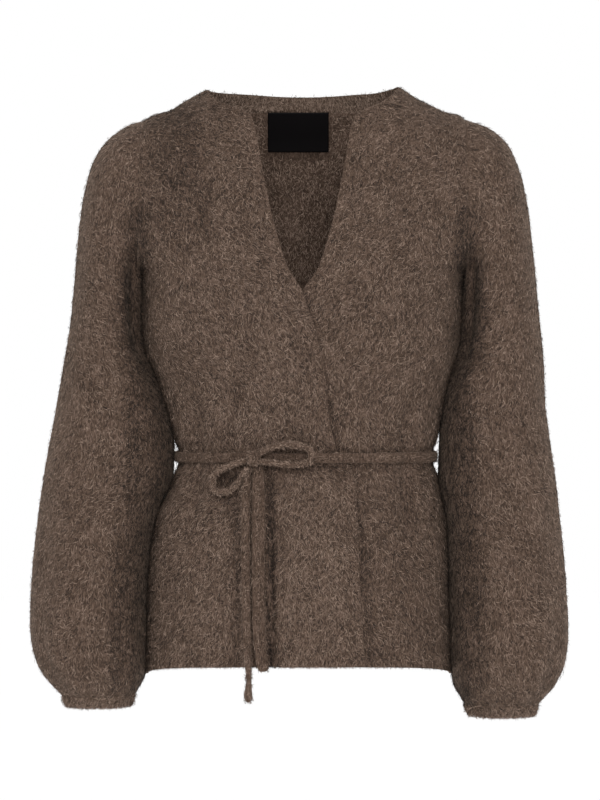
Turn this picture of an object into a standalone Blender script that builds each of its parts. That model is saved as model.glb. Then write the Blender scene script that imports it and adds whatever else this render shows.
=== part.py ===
"""Wrap cardigan in brushed mohair knit, filled out as if worn, tied with its own knitted belt.

Metres in the scene, +Z up, +X to the wearer's left, the front faces -Y. The tables are in
millimetres and MM turns them to metres. The origin is the middle of the neck, at the height
of the points where the shoulder seams meet the neckline, which is where a wearer holds it.
"""
import math
from collections import namedtuple

import bmesh
import bpy
import numpy as np
from mathutils import Vector
from mathutils.bvhtree import BVHTree

MM = 0.001

# Driving sizes
WALL = 3.2                 # the knit and the nap that lies on it
SEAM = 0.3                 # between two pieces that are sewn together
SEAM_HALF = 0.2            # each panel's distance from the plane of the side and shoulder seams
SQUARENESS = 2.4           # exponent of the torso's sections: 2 is an ellipse, more is squarer
ARM_SQUARENESS = 2.15      # the same for the sleeves
ARMHOLE_X = 172.0          # plane of the armholes
SHOULDER_TIP_Z = -34.0
ARMPIT_Z = -200.0
BELT_Z = -392.0
BELT_WIDTH = 10.5
BELT_THICK = 4.4
BELT_CLEAR = 1.0
OVERLAP_LIFT = WALL + 0.9  # how far the outer front is lifted where the other lies under it
OVERLAP_RAMP = 45.0        # the width over which it rises
TUCK = 1.6                 # how far the hidden edge of the other front is tucked in
TUCK_RAMP = 30.0
LABEL_SIZE = (67.0, 41.5)
LABEL_THICK = 0.8
LABEL_LAP = 0.2            # how far the label reaches over the band's lower edge
SLEEVE_EXTRA_LEFT = 10.0   # the wearer's left sleeve hangs this much lower at its cuff

FRONT = -1.0
BACK = 1.0

# Torso: half width, depth before and behind the seam plane, and how far it leans to +X
Section = namedtuple("Section", "z half_width front back sway")
TORSO = [
    Section(0.0, 103.5, 48.0, 55.0, 2.0),
    Section(-8.0, 118.0, 53.0, 60.0, 2.0),
    Section(-21.0, 145.0, 60.0, 67.0, 2.0),
    Section(-34.0, 172.0, 67.0, 73.0, 2.0),
    Section(-50.0, 200.0, 74.0, 80.0, 2.0),
    Section(-80.0, 222.0, 84.0, 89.0, 2.0),
    Section(-120.0, 226.0, 96.0, 98.0, 2.0),
    Section(-160.0, 209.0, 106.0, 105.0, 2.0),
    Section(-185.0, 187.0, 111.0, 108.0, 2.0),
    Section(-200.0, 172.0, 113.0, 109.0, 2.0),
    Section(-222.0, 171.0, 115.0, 110.0, 1.0),
    Section(-270.0, 169.5, 113.0, 107.0, 0.5),
    Section(-303.0, 158.5, 109.0, 101.0, 2.0),
    Section(-350.0, 146.0, 99.0, 91.0, 4.0),
    Section(-374.0, 140.5, 94.5, 87.0, 5.0),
    Section(-385.0, 136.6, 91.6, 84.6, 5.0),
    Section(-399.0, 136.6, 91.6, 84.6, 5.0),
    Section(-410.0, 140.5, 95.0, 89.0, 5.0),
    Section(-425.0, 144.5, 98.5, 95.0, 4.0),
    Section(-450.0, 153.5, 103.0, 104.0, 1.0),
    Section(-480.0, 159.0, 106.5, 111.0, -1.5),
    Section(-520.0, 161.5, 109.0, 116.0, -3.0),
    Section(-570.0, 163.0, 111.0, 119.0, -3.0),
    Section(-624.0, 164.0, 112.5, 120.0, -2.5),
]

# A front's free edge: how far past the middle it reaches, from the hem up to the neck point
Edge = namedtuple("Edge", "z past")
FRONT_EDGE = [
    Edge(-607.0, 68.5),
    Edge(-540.0, 64.5),
    Edge(-475.0, 60.0),
    Edge(-430.0, 53.0),
    Edge(-403.0, 46.0),
    Edge(-385.0, 32.0),
    Edge(-350.0, 25.0),
    Edge(-305.0, 22.5),
    Edge(-254.0, 13.0),
    Edge(-233.0, 4.5),
    Edge(-219.0, 0.0),
    Edge(-195.0, -16.0),
    Edge(-163.0, -26.0),
    Edge(-132.0, -34.0),
    Edge(-102.0, -40.0),
    Edge(-75.0, -45.0),
    Edge(-50.0, -49.5),
    Edge(-33.0, -54.5),
    Edge(-26.0, -65.0),
    Edge(-21.0, -78.0),
    Edge(-16.0, -88.5),
    Edge(-9.0, -97.0),
    Edge(-4.0, -101.0),
    Edge(0.0, -103.5),
]

# Rows of the panels below the armpit, from the hem up, finer round the belt
LOW_ROWS = [-624.0, -598.0, -567.0, -535.0, -502.0, -470.0, -443.0, -422.0, -408.0,
            -399.0, BELT_Z, -385.0, -374.0, -357.0, -332.0, -302.0, -270.0, -240.0, -218.0]
# Rows of a front's free edge beside the armhole, from the V's foot up to the neck point
NECK_ROWS = [-219.0, -195.0, -163.0, -132.0, -102.0, -75.0, -50.0, -33.0, -26.0, -21.0,
             -16.0, -9.0, -4.0, 0.0]
ARM_STEPS = len(NECK_ROWS) - 1
HEM_Z = LOW_ROWS[0]
FRONT_HEM_RISE = 17.0      # the hem is this much higher at the middle of the front
BACK_HEM_RISE = 6.0
FRONT_COLUMNS = 15
BACK_COLUMNS = 24

# Soft folds of the torso: a trough from one place to another, widest and deepest half way
Fold = namedtuple("Fold", "face x_top x_low z_top z_low reach depth")
TORSO_FOLDS = [
    Fold(FRONT, -110.0, -98.0, -45.0, -200.0, 15.0, 5.0),
    Fold(FRONT, 95.0, 108.0, -70.0, -190.0, 15.0, 2.5),
    Fold(FRONT, -117.0, -110.0, -305.0, -400.0, 12.0, 4.0),
    Fold(FRONT, -74.0, -70.0, -335.0, -398.0, 10.0, 2.5),
    Fold(FRONT, 114.0, 108.0, -310.0, -400.0, 12.0, 4.0),
    Fold(FRONT, 76.0, 72.0, -345.0, -398.0, 10.0, 2.5),
    Fold(FRONT, 106.0, 113.0, -388.0, -480.0, 12.0, 4.0),
    Fold(FRONT, -112.0, -118.0, -386.0, -490.0, 12.0, 3.5),
    Fold(FRONT, -50.0, -45.0, -400.0, -760.0, 17.0, 6.5),
    Fold(FRONT, -76.0, -80.0, -398.0, -640.0, 11.0, 4.0),
    Fold(BACK, -104.0, -96.0, -290.0, -400.0, 13.0, 4.5),
    Fold(BACK, -52.0, -46.0, -315.0, -400.0, 12.0, 3.5),
    Fold(BACK, 8.0, 4.0, -300.0, -402.0, 12.0, 3.0),
    Fold(BACK, 60.0, 50.0, -310.0, -398.0, 12.0, 4.0),
    Fold(BACK, 110.0, 102.0, -295.0, -400.0, 13.0, 4.0),
    Fold(BACK, -98.0, -112.0, -386.0, -540.0, 15.0, 4.0),
    Fold(BACK, -30.0, -34.0, -386.0, -500.0, 14.0, 3.5),
    Fold(BACK, 40.0, 48.0, -386.0, -560.0, 15.0, 4.5),
    Fold(BACK, 104.0, 116.0, -386.0, -520.0, 14.0, 3.5),
    Fold(BACK, -120.0, -108.0, -90.0, -230.0, 15.0, 3.5),
    Fold(BACK, 122.0, 112.0, -80.0, -220.0, 15.0, 3.5),
]

# Sleeve sections from the armhole to the cuff, for the +X side: the outer point, the inner
# point, the depth before and behind their line, that line's own y, and the lean of both points
Ring = namedtuple("Ring", "out_x out_z in_x in_z front back y out_sway in_sway")
SLEEVE = [
    Ring(172.3, -34.0, 172.3, -200.0, 70.0, 72.0, 0.0, 2.0, 2.0),
    Ring(184.0, -36.5, 172.6, -203.0, 69.0, 71.0, 0.0, 4.5, 2.0),
    Ring(199.0, -44.0, 172.9, -207.0, 68.0, 70.0, 0.0, 5.5, 2.0),
    Ring(215.0, -58.0, 173.1, -212.0, 67.0, 70.0, 0.0, 5.0, 1.7),
    Ring(228.5, -84.0, 173.2, -219.0, 66.0, 70.0, 0.0, 4.0, 1.4),
    Ring(237.0, -118.0, 173.0, -228.0, 65.5, 69.5, 0.0, 4.0, 1.0),
    Ring(242.0, -157.0, 172.6, -240.0, 65.0, 69.0, -1.0, 4.0, 0.8),
    Ring(246.0, -200.0, 171.8, -255.0, 64.0, 68.0, -2.0, 4.5, 0.6),
    Ring(250.0, -245.0, 170.3, -275.0, 63.0, 67.0, -4.0, 4.5, 0.8),
    Ring(256.0, -292.0, 161.0, -302.0, 62.5, 66.0, -6.0, 3.0, 2.0),
    Ring(260.5, -336.0, 151.4, -336.0, 63.0, 65.0, -8.0, 0.0, 3.5),
    Ring(266.5, -375.0, 144.5, -375.0, 64.5, 65.0, -10.0, -1.0, 5.5),
    Ring(272.5, -413.0, 145.4, -413.0, 66.5, 66.0, -12.0, -1.5, 4.5),
    Ring(277.0, -449.0, 156.0, -449.0, 69.0, 67.5, -14.0, -2.0, 0.7),
    Ring(281.5, -490.0, 160.8, -490.0, 72.0, 69.5, -16.0, -2.2, -2.1),
    Ring(284.5, -530.0, 162.8, -530.0, 73.5, 70.5, -18.0, -2.2, -3.2),
    Ring(285.8, -567.0, 163.4, -567.0, 72.5, 69.5, -20.0, -2.0, -3.2),
    Ring(282.5, -598.0, 163.8, -598.0, 67.0, 64.0, -21.0, -1.8, -2.7),
    Ring(273.0, -621.0, 164.9, -621.0, 57.0, 54.0, -22.0, -1.6, -2.0),
    Ring(261.5, -635.0, 169.5, -635.0, 46.0, 43.0, -23.0, -1.5, -1.5),
    Ring(253.0, -644.0, 174.5, -644.0, 37.0, 34.5, -23.0, -1.2, -1.5),
]
CUFF = [
    Ring(253.0, -644.0 - SEAM, 174.5, -644.0 - SEAM, 37.0, 34.5, -23.0, -1.2, -1.5),
    Ring(249.0, -657.5, 179.0, -657.5, 32.0, 30.0, -23.0, -1.0, -1.5),
]
CUFF_RIBS = 30
BAND_RIBS = 66
RIB_HEIGHT = 0.5

# Soft folds of the sleeves: where they start and end along the rings, the angle round the
# arm from the outer point over the front, in degrees, how far they reach and how deep
ArmFold = namedtuple("ArmFold", "first last angle_first angle_last reach depth")
ARM_FOLDS = [
    ArmFold(0.5, 6.0, 62.0, 80.0, 14.0, 3.0),
    ArmFold(1.0, 7.0, 300.0, 280.0, 14.0, 3.0),
    ArmFold(8.0, 13.5, 120.0, 70.0, 16.0, 4.0),
    ArmFold(9.5, 14.0, 250.0, 290.0, 16.0, 3.5),
    ArmFold(12.0, 16.5, 30.0, 60.0, 15.0, 2.5),
    ArmFold(14.5, 20.5, 40.0, 44.0, 10.0, 3.5),
    ArmFold(15.0, 20.5, 86.0, 82.0, 10.0, 3.5),
    ArmFold(14.0, 20.5, 128.0, 122.0, 10.0, 3.0),
    ArmFold(15.0, 20.5, 235.0, 238.0, 10.0, 3.5),
    ArmFold(14.5, 20.5, 278.0, 276.0, 10.0, 3.0),
    ArmFold(15.0, 20.5, 322.0, 318.0, 10.0, 3.0),
]

# The bow, as paths of x and z and the distance of the strap's middle from the outer front
KNOT = (-49.0, -392.0)
KNOT_HALF = (6.5, 5.6, 7.4)
KNOT_OFF = 10.9
Way = namedtuple("Way", "x z off wide thick")
LOOP_RIGHT = [
    Way(-56.0, -394.6, 12.0, 8.0, 5.0),
    Way(-64.0, -396.5, 11.0, 8.5, 5.2),
    Way(-76.0, -401.0, 9.0, 9.0, 5.4),
    Way(-86.0, -406.0, 7.5, 9.0, 5.6),
    Way(-91.6, -414.0, 6.5, 9.0, 5.6),
    Way(-90.8, -422.5, 6.0, 9.0, 5.6),
    Way(-84.0, -427.5, 6.0, 9.0, 5.6),
    Way(-75.0, -425.5, 6.5, 9.0, 5.6),
    Way(-67.0, -419.0, 8.5, 8.5, 5.4),
    Way(-61.5, -411.0, 12.5, 7.5, 4.8),
    Way(-56.5, -402.6, 12.9, 7.0, 4.6),
]
LOOP_LEFT = [
    Way(-42.0, -387.6, 11.3, 8.0, 5.0),
    Way(-34.5, -382.5, 11.5, 8.5, 5.4),
    Way(-25.0, -379.0, 11.0, 8.5, 5.8),
    Way(-11.0, -377.8, 10.5, 8.5, 6.0),
    Way(2.0, -379.8, 10.5, 8.5, 6.0),
    Way(10.0, -385.2, 10.5, 8.5, 6.0),
    Way(10.0, -393.0, 10.8, 8.5, 6.0),
    Way(2.0, -397.6, 11.0, 8.5, 6.0),
    Way(-10.0, -398.4, 11.2, 8.5, 5.6),
    Way(-27.0, -397.0, 11.5, 8.5, 5.2),
    Way(-42.6, -395.6, 11.5, 8.0, 5.0),
]
TAIL_SHORT = [
    Way(-45.0, -399.9, 6.4, 9.5, 4.4),
    Way(-44.6, -405.0, 5.2, 11.5, 4.4),
    Way(-44.2, -413.0, 3.8, 13.0, 4.2),
    Way(-44.0, -425.0, 2.7, 13.5, 4.2),
    Way(-44.0, -450.0, 2.6, 13.5, 4.2),
    Way(-44.2, -485.0, 2.6, 13.5, 4.2),
    Way(-44.0, -520.0, 2.6, 13.5, 4.2),
    Way(-43.6, -555.0, 2.6, 13.5, 4.2),
    Way(-42.4, -585.0, 2.7, 12.5, 4.4),
    Way(-40.4, -600.0, 3.1, 12.0, 4.8),
    Way(-38.8, -608.0, 3.1, 11.0, 4.8),
    Way(-38.4, -611.0, 3.1, 7.0, 3.6),
]
TAIL_LONG = [
    Way(-53.3, -399.2, 7.7, 6.3, 4.2),
    Way(-55.4, -405.0, 5.4, 7.5, 4.2),
    Way(-56.6, -413.0, 4.2, 8.5, 4.2),
    Way(-57.0, -425.0, 3.2, 9.0, 4.2),
    Way(-57.2, -450.0, 3.0, 9.0, 4.2),
    Way(-57.2, -485.0, 3.0, 9.0, 4.2),
    Way(-57.0, -520.0, 3.0, 9.0, 4.2),
    Way(-56.6, -555.0, 3.0, 9.0, 4.2),
    Way(-55.6, -585.0, 3.0, 8.5, 4.2),
    Way(-54.6, -600.0, 3.0, 7.0, 4.2),
    Way(-54.0, -612.0, 3.0, 5.0, 4.4),
    Way(-54.0, -622.0, 3.2, 5.0, 4.6),
    Way(-54.2, -630.0, 3.6, 7.2, 5.8),
    Way(-54.4, -637.0, 3.8, 8.0, 6.4),
    Way(-54.4, -642.0, 3.8, 4.5, 3.6),
]
STRAP_SIDES = 8

# Finishes, as linear colours
Finish = namedtuple("Finish", "red green blue roughness")
MOHAIR = Finish(0.105, 0.072, 0.054, 0.95)
MOHAIR_RIB = Finish(0.085, 0.058, 0.045, 0.95)
SATIN = Finish(0.010, 0.009, 0.010, 0.45)


def curve_through(stations, values):
    """A smooth curve through the values that never overshoots them."""
    order = np.argsort(stations)
    xs = np.asarray(stations, float)[order]
    ys = np.asarray(values, float)[order]
    steps = np.diff(xs)
    slopes = np.diff(ys) / steps
    tangents = np.zeros_like(ys)
    before = slopes[:-1]
    after = slopes[1:]
    same = before * after > 0
    total = np.where(same, before + after, 1.0)
    tangents[1:-1] = np.where(same, 2.0 * before * after / total, 0.0)
    tangents[0] = slopes[0]
    tangents[-1] = slopes[-1]

    def value(at):
        at = min(max(at, xs[0]), xs[-1])
        index = min(max(int(np.searchsorted(xs, at)) - 1, 0), len(steps) - 1)
        step = steps[index]
        t = (at - xs[index]) / step
        rise = t * t * (3.0 - 2.0 * t)
        start = t * (1.0 - t) * (1.0 - t)
        end = t * t * (t - 1.0)
        return float(ys[index] * (1.0 - rise) + ys[index + 1] * rise
                     + step * (start * tangents[index] + end * tangents[index + 1]))

    return value


def columns_of(table, station):
    """One smooth curve for each column of a table, over its station column."""
    stations = [getattr(row, station) for row in table]
    return {name: curve_through(stations, [getattr(row, name) for row in table])
            for name in table[0]._fields if name != station}


torso = columns_of(TORSO, "z")
edge_past = columns_of(FRONT_EDGE, "z")["past"]


def smoothstep(value):
    value = min(max(value, 0.0), 1.0)
    return value * value * (3.0 - 2.0 * value)


def power(value, exponent):
    return math.copysign(abs(value) ** exponent, value)


def angle_at(local_x, z):
    """The torso angle of a place at local_x from the middle line, 90 degrees at the seam."""
    share = min(max(local_x / torso["half_width"](z), -1.0), 1.0)
    return math.asin(power(share, SQUARENESS / 2.0))


def fold_depth(face, x, z):
    depth = 0.0
    for fold in TORSO_FOLDS:
        if fold.face != face or not fold.z_low < z < fold.z_top:
            continue
        down = (fold.z_top - z) / (fold.z_top - fold.z_low)
        middle = fold.x_top + (fold.x_low - fold.x_top) * down
        across = (x - middle) / fold.reach
        depth += fold.depth * math.sin(math.pi * down) * math.exp(-across * across)
    return depth


def torso_point(angle, z, face, out=0.0):
    """A point of the torso's outside, and out millimetres beyond it, in millimetres."""
    width = torso["half_width"](z)
    depth = torso["front" if face == FRONT else "back"](z)
    side = math.sin(angle)
    ahead = max(math.cos(angle), 0.0)
    x = width * power(side, 2.0 / SQUARENESS)
    y = depth * power(ahead, 2.0 / SQUARENESS)
    steep = 2.0 * (SQUARENESS - 1.0) / SQUARENESS
    normal_x = power(side, steep) / width
    normal_y = power(ahead, steep) / depth
    length = math.hypot(normal_x, normal_y)
    out = out - fold_depth(face, x + torso["sway"](z), z)
    x += out * normal_x / length
    y += out * normal_y / length
    return np.array([x + torso["sway"](z), face * y, z])


def overlap_lift(local_x, z):
    """How far the outer front stands off where the other front lies under it."""
    hidden = -edge_past(min(z, NECK_ROWS[0])) - 6.0
    across = smoothstep((local_x - (hidden - OVERLAP_RAMP)) / OVERLAP_RAMP)
    above = smoothstep((z + 130.0) / -70.0)
    return OVERLAP_LIFT * across * above


def hidden_tuck(local_x, z):
    """How far the under front is tucked in where the outer one covers it."""
    if z > NECK_ROWS[0]:
        return 0.0
    return TUCK * smoothstep((edge_past(z) - local_x) / TUCK_RAMP)


def near_hem(z):
    return smoothstep((-470.0 - z) / (-470.0 - HEM_Z))


def armhole_z(step):
    middle = (SHOULDER_TIP_Z + ARMPIT_Z) / 2.0
    half = (SHOULDER_TIP_Z - ARMPIT_Z) / 2.0
    return middle - half * math.cos(math.pi * step / ARM_STEPS)


def front_rows():
    """Heights of each row of a front at its free edge and at its side."""
    rows = []
    for z in LOW_ROWS:
        inner = z + FRONT_HEM_RISE * near_hem(z)
        inner -= (NECK_ROWS[0] - ARMPIT_Z) * -smoothstep((z + 330.0) / 130.0)
        rows.append((inner, z))
    for step, inner in enumerate(NECK_ROWS):
        rows.append((inner, armhole_z(step)))
    return rows


def outer_angle(z):
    """The angle where a panel ends: the side seam, or the armhole's plane."""
    if ARMPIT_Z < z < SHOULDER_TIP_Z:
        return angle_at(ARMHOLE_X, z)
    return math.pi / 2.0


def front_grid(side):
    """Outside of a front, rows from hem to shoulder, columns from free edge to side."""
    rows = front_rows()
    grid = []
    for index, (inner_z, outer_z) in enumerate(rows):
        top = index == len(rows) - 1
        inner_angle = angle_at(-side * edge_past(inner_z), inner_z)
        last_angle = side * (math.pi / 2.0 if top else outer_angle(outer_z))
        line = []
        for column in range(FRONT_COLUMNS + 1):
            share = column / FRONT_COLUMNS
            angle = inner_angle + (last_angle - inner_angle) * share
            z = inner_z + (outer_z - inner_z) * share ** (1.0 + 2.0 * near_hem(outer_z))
            local_x = torso_point(angle, z, FRONT)[0] - torso["sway"](z)
            out = overlap_lift(local_x, z) if side < 0 else -hidden_tuck(local_x, z)
            line.append(torso_point(angle, z, FRONT, out))
        grid.append(line)
    return np.array(grid)


def neck_z(angle):
    """Top edge of the back neck."""
    return -5.5 + 5.5 * smoothstep(abs(math.sin(angle)) / 0.6)


def band_foot_z(angle):
    """Lower edge of the ribbed band, where the back panel starts."""
    return -18.2 + 10.2 * abs(math.sin(angle)) ** 3


def back_grid():
    """Outside of the back, rows from hem to the neck band, columns from -X to +X."""
    rows = [(z + BACK_HEM_RISE * near_hem(z), z) for z in LOW_ROWS]
    for step in range(ARM_STEPS + 1):
        z = armhole_z(step)
        rows.append((z - 8.0 * smoothstep((z + 90.0) / 56.0), z))
    rows.append((-30.5, -21.0))
    grid = []
    for middle_z, end_z in rows:
        last_angle = outer_angle(end_z)
        line = []
        for column in range(BACK_COLUMNS + 1):
            share = 2.0 * column / BACK_COLUMNS - 1.0
            z = middle_z + (end_z - middle_z) * share * share
            line.append(torso_point(share * last_angle, z, BACK))
        grid.append(line)
    top = []
    for column in range(BACK_COLUMNS + 1):
        angle = (2.0 * column / BACK_COLUMNS - 1.0) * math.pi / 2.0
        top.append(torso_point(angle, band_foot_z(angle) - SEAM - 0.1, BACK))
    grid.append(top)
    return np.array(grid)


def band_grids():
    """Outside and inside of the ribbed neck band, ribs raised on both faces."""
    columns = 2 * BAND_RIBS
    outside = []
    inside = []
    for edge in (band_foot_z, neck_z):
        outer_line = []
        inner_line = []
        for column in range(columns + 1):
            angle = (2.0 * column / columns - 1.0) * math.pi / 2.0
            rib = RIB_HEIGHT * (1.0 if column % 2 else -1.0)
            outer_line.append(torso_point(angle, edge(angle), BACK, rib - RIB_HEIGHT))
            inner_line.append(torso_point(angle, edge(angle), BACK, RIB_HEIGHT - WALL - rib))
        outside.append(outer_line)
        inside.append(inner_line)
    return np.array(outside), np.array(inside)


def grid_normals(grid, closed):
    """Unit normals of a grid, from the differences to its neighbours."""
    if closed:
        along = np.roll(grid, -1, axis=1) - np.roll(grid, 1, axis=1)
    else:
        along = np.gradient(grid, axis=1)
    up = np.gradient(grid, axis=0)
    normal = np.cross(along, up)
    return normal / np.linalg.norm(normal, axis=2, keepdims=True)


def link(obj, finish):
    material = bpy.data.materials.new(obj.name + "_finish")
    material.use_nodes = True
    shader = material.node_tree.nodes["Principled BSDF"]
    shader.inputs["Base Color"].default_value = (finish.red, finish.green, finish.blue, 1.0)
    shader.inputs["Roughness"].default_value = finish.roughness
    shader.inputs["Metallic"].default_value = 0.0
    obj.data.materials.append(material)
    bpy.context.scene.collection.objects.link(obj)


def solid(name, points, faces, finish):
    """One closed body from points in millimetres, its faces turned outwards."""
    mesh = bpy.data.meshes.new(name)
    mesh.from_pydata([tuple(point * MM) for point in points], [], faces)
    shaped = bmesh.new()
    shaped.from_mesh(mesh)
    bmesh.ops.recalc_face_normals(shaped, faces=shaped.faces)
    bmesh.ops.triangulate(shaped, faces=shaped.faces, quad_method="FIXED")
    shaped.to_mesh(mesh)
    shaped.free()
    mesh.shade_smooth()
    mesh.set_sharp_from_angle(angle=math.radians(50.0))
    obj = bpy.data.objects.new(name, mesh)
    link(obj, finish)
    return obj


def wall(name, outside, inside, closed, finish):
    """A wall of cloth between two grids of the same size, closed round its edges."""
    rows, columns = outside.shape[:2]
    points = list(outside.reshape(-1, 3)) + list(inside.reshape(-1, 3))
    second = rows * columns
    spans = columns if closed else columns - 1

    def at(row, column, layer):
        return layer * second + row * columns + column % columns

    faces = []
    for row in range(rows - 1):
        for column in range(spans):
            for layer in (0, 1):
                faces.append((at(row, column, layer), at(row, column + 1, layer),
                              at(row + 1, column + 1, layer), at(row + 1, column, layer)))
    for column in range(spans):
        for row in (0, rows - 1):
            faces.append((at(row, column, 0), at(row, column + 1, 0),
                          at(row, column + 1, 1), at(row, column, 1)))
    if not closed:
        for row in range(rows - 1):
            for column in (0, columns - 1):
                faces.append((at(row, column, 0), at(row + 1, column, 0),
                              at(row + 1, column, 1), at(row, column, 1)))
    return solid(name, points, faces, finish)


def inward(grid, closed, away):
    """The same grid moved one wall's thickness inwards; away is the sign that points out."""
    return grid - away * WALL * grid_normals(grid, closed)


def keep_to_face(grid, face):
    """Holds a panel on its own side of the plane of the side and shoulder seams."""
    kept = grid.copy()
    if face == FRONT:
        kept[..., 1] = np.minimum(kept[..., 1], -SEAM_HALF)
    else:
        kept[..., 1] = np.maximum(kept[..., 1], SEAM_HALF)
    return kept


def make_front(name, side):
    grid = front_grid(side)
    inner = inward(grid, False, side)
    obj = wall(name, keep_to_face(grid, FRONT), keep_to_face(inner, FRONT), False, MOHAIR)
    return grid, obj


def make_back():
    grid = back_grid()
    inner = inward(grid, False, -1.0)
    wall("back", keep_to_face(grid, BACK), keep_to_face(inner, BACK), False, MOHAIR)
    return grid


def make_band():
    outside, inside = band_grids()
    wall("neck_band", keep_to_face(outside, BACK), keep_to_face(inside, BACK), False, MOHAIR_RIB)


def arm_drop(z, side):
    """The wearer's left sleeve hangs lower, more so towards the cuff."""
    if side < 0:
        return 0.0
    return SLEEVE_EXTRA_LEFT * smoothstep((-z - 300.0) / 340.0)


def arm_fold_depth(place, degrees):
    depth = 0.0
    for fold in ARM_FOLDS:
        if not fold.first < place < fold.last:
            continue
        down = (place - fold.first) / (fold.last - fold.first)
        middle = fold.angle_first + (fold.angle_last - fold.angle_first) * down
        across = ((degrees - middle + 180.0) % 360.0 - 180.0) / fold.reach
        depth += fold.depth * math.sin(math.pi * down) * math.exp(-across * across)
    return depth


def arm_point(ring, angle, side, out):
    """A point of a sleeve's section, at an angle from its outer point over the front."""
    outer = np.array([side * ring.out_x + ring.out_sway, ring.y, ring.out_z])
    inner = np.array([side * ring.in_x + ring.in_sway, ring.y, ring.in_z])
    outer[2] -= arm_drop(ring.out_z, side)
    inner[2] -= arm_drop(ring.in_z, side)
    middle = (outer + inner) / 2.0
    half = (outer - inner) / 2.0
    half += out * half / np.linalg.norm(half)
    depth = (ring.front if math.sin(angle) > 0.0 else ring.back) + out
    across = power(math.cos(angle), 2.0 / ARM_SQUARENESS)
    ahead = power(math.sin(angle), 2.0 / ARM_SQUARENESS)
    return middle + half * across - np.array([0.0, depth * ahead, 0.0])


def armhole_loop(side):
    """The armhole's outline, from the shoulder over the front to the armpit and back up."""
    loop = []
    for step in range(2 * ARM_STEPS):
        face = FRONT if step <= ARM_STEPS else BACK
        z = armhole_z(abs(ARM_STEPS - step))
        point = torso_point(side * outer_angle(z), z, face)
        point[0] += side * SEAM
        loop.append(point)
    return np.array(loop)


def sleeve_grid(side):
    """Outside of a sleeve, one row for each ring, starting from the armhole's own outline."""
    loop = armhole_loop(side)
    grid = []
    for index, ring in enumerate(SLEEVE):
        share = smoothstep(index / 4.0)
        line = []
        for step in range(2 * ARM_STEPS):
            angle = math.pi * step / ARM_STEPS
            fold = arm_fold_depth(index, math.degrees(angle))
            point = arm_point(ring, angle, side, -fold)
            if index == 0:
                point = loop[step]
            else:
                point[1] += (1.0 - share) * (loop[step][1] - arm_point(
                    SLEEVE[0], angle, side, 0.0)[1])
            line.append(point)
        grid.append(line)
    return np.array(grid)


def make_sleeve(name, side):
    grid = sleeve_grid(side)
    inner = inward(grid, True, side)
    limit = side * (ARMHOLE_X + SEAM) + 2.0
    near = inner[..., 2] > ARMPIT_Z - 4.0
    held = np.maximum(inner[..., 0], limit) if side > 0 else np.minimum(inner[..., 0], limit)
    inner[..., 0] = np.where(near, held, inner[..., 0])
    wall(name, grid, inner, True, MOHAIR)


def make_cuff(name, side):
    columns = 2 * CUFF_RIBS
    outside = []
    inside = []
    for ring in CUFF:
        outer_line = []
        inner_line = []
        for column in range(columns):
            angle = 2.0 * math.pi * column / columns
            rib = 0.0 if column % 2 else -2.0 * RIB_HEIGHT
            outer_line.append(arm_point(ring, angle, side, rib))
            inner_line.append(arm_point(ring, angle, side, -WALL))
        outside.append(outer_line)
        inside.append(inner_line)
    wall(name, np.array(outside), np.array(inside), True, MOHAIR_RIB)


def swept(name, points, wides, thicks, outs, closed, finish):
    """A strap along a path: wide across the path, thick along its outs, with rounded edges."""
    points = np.array(points)
    if closed:
        heading = np.roll(points, -1, axis=0) - np.roll(points, 1, axis=0)
    else:
        heading = np.gradient(points, axis=0)
    heading /= np.linalg.norm(heading, axis=1, keepdims=True)
    corners = []
    faces = []
    count = len(points)
    for index in range(count):
        out = outs[index] - heading[index] * np.dot(outs[index], heading[index])
        out /= np.linalg.norm(out)
        across = np.cross(heading[index], out)
        for side in range(STRAP_SIDES):
            turn = 2.0 * math.pi * (side + 0.5) / STRAP_SIDES
            reach = 1.0 / math.cos(math.pi / STRAP_SIDES)
            corners.append(points[index]
                           + across * wides[index] / 2.0 * power(math.cos(turn), 0.8) * reach ** 0.8
                           + out * thicks[index] / 2.0 * power(math.sin(turn), 0.8) * reach ** 0.8)
    for index in range(count if closed else count - 1):
        here = index * STRAP_SIDES
        there = (index + 1) % count * STRAP_SIDES
        for side in range(STRAP_SIDES):
            after = (side + 1) % STRAP_SIDES
            faces.append((here + side, here + after, there + after, there + side))
    if not closed:
        last = (count - 1) * STRAP_SIDES
        faces.append(tuple(range(STRAP_SIDES)))
        faces.append(tuple(last + side for side in range(STRAP_SIDES)))
    return solid(name, corners, faces, finish)


def belt_line(outer, under, back):
    """Places and outward directions round the waist, from the panels' own rows at the belt."""
    row = LOW_ROWS.index(BELT_Z)
    outer_out = grid_normals(outer, False)[row] * -1.0
    under_out = grid_normals(under, False)[row]
    back_out = grid_normals(back, False)[row] * -1.0
    places = [(outer[row][column], outer_out[column])
              for column in range(FRONT_COLUMNS, -1, -1)]
    edge_x = outer[row][0][0]
    places += [(under[row][column], under_out[column])
               for column in range(FRONT_COLUMNS + 1) if under[row][column][0] > edge_x + 9.0]
    places += [(back[row][column], back_out[column])
               for column in range(BACK_COLUMNS - 1, 0, -1)]
    return places


def make_belt(outer, under, back):
    points = []
    outs = []
    for place, out in belt_line(outer, under, back):
        level = np.array([out[0], out[1], 0.0])
        level /= np.linalg.norm(level)
        points.append(place + level * (BELT_CLEAR + BELT_THICK / 2.0))
        outs.append(level)
    wides = [BELT_WIDTH] * len(points)
    thicks = [BELT_THICK] * len(points)
    swept("belt_waist", points, wides, thicks, outs, True, MOHAIR)


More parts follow.
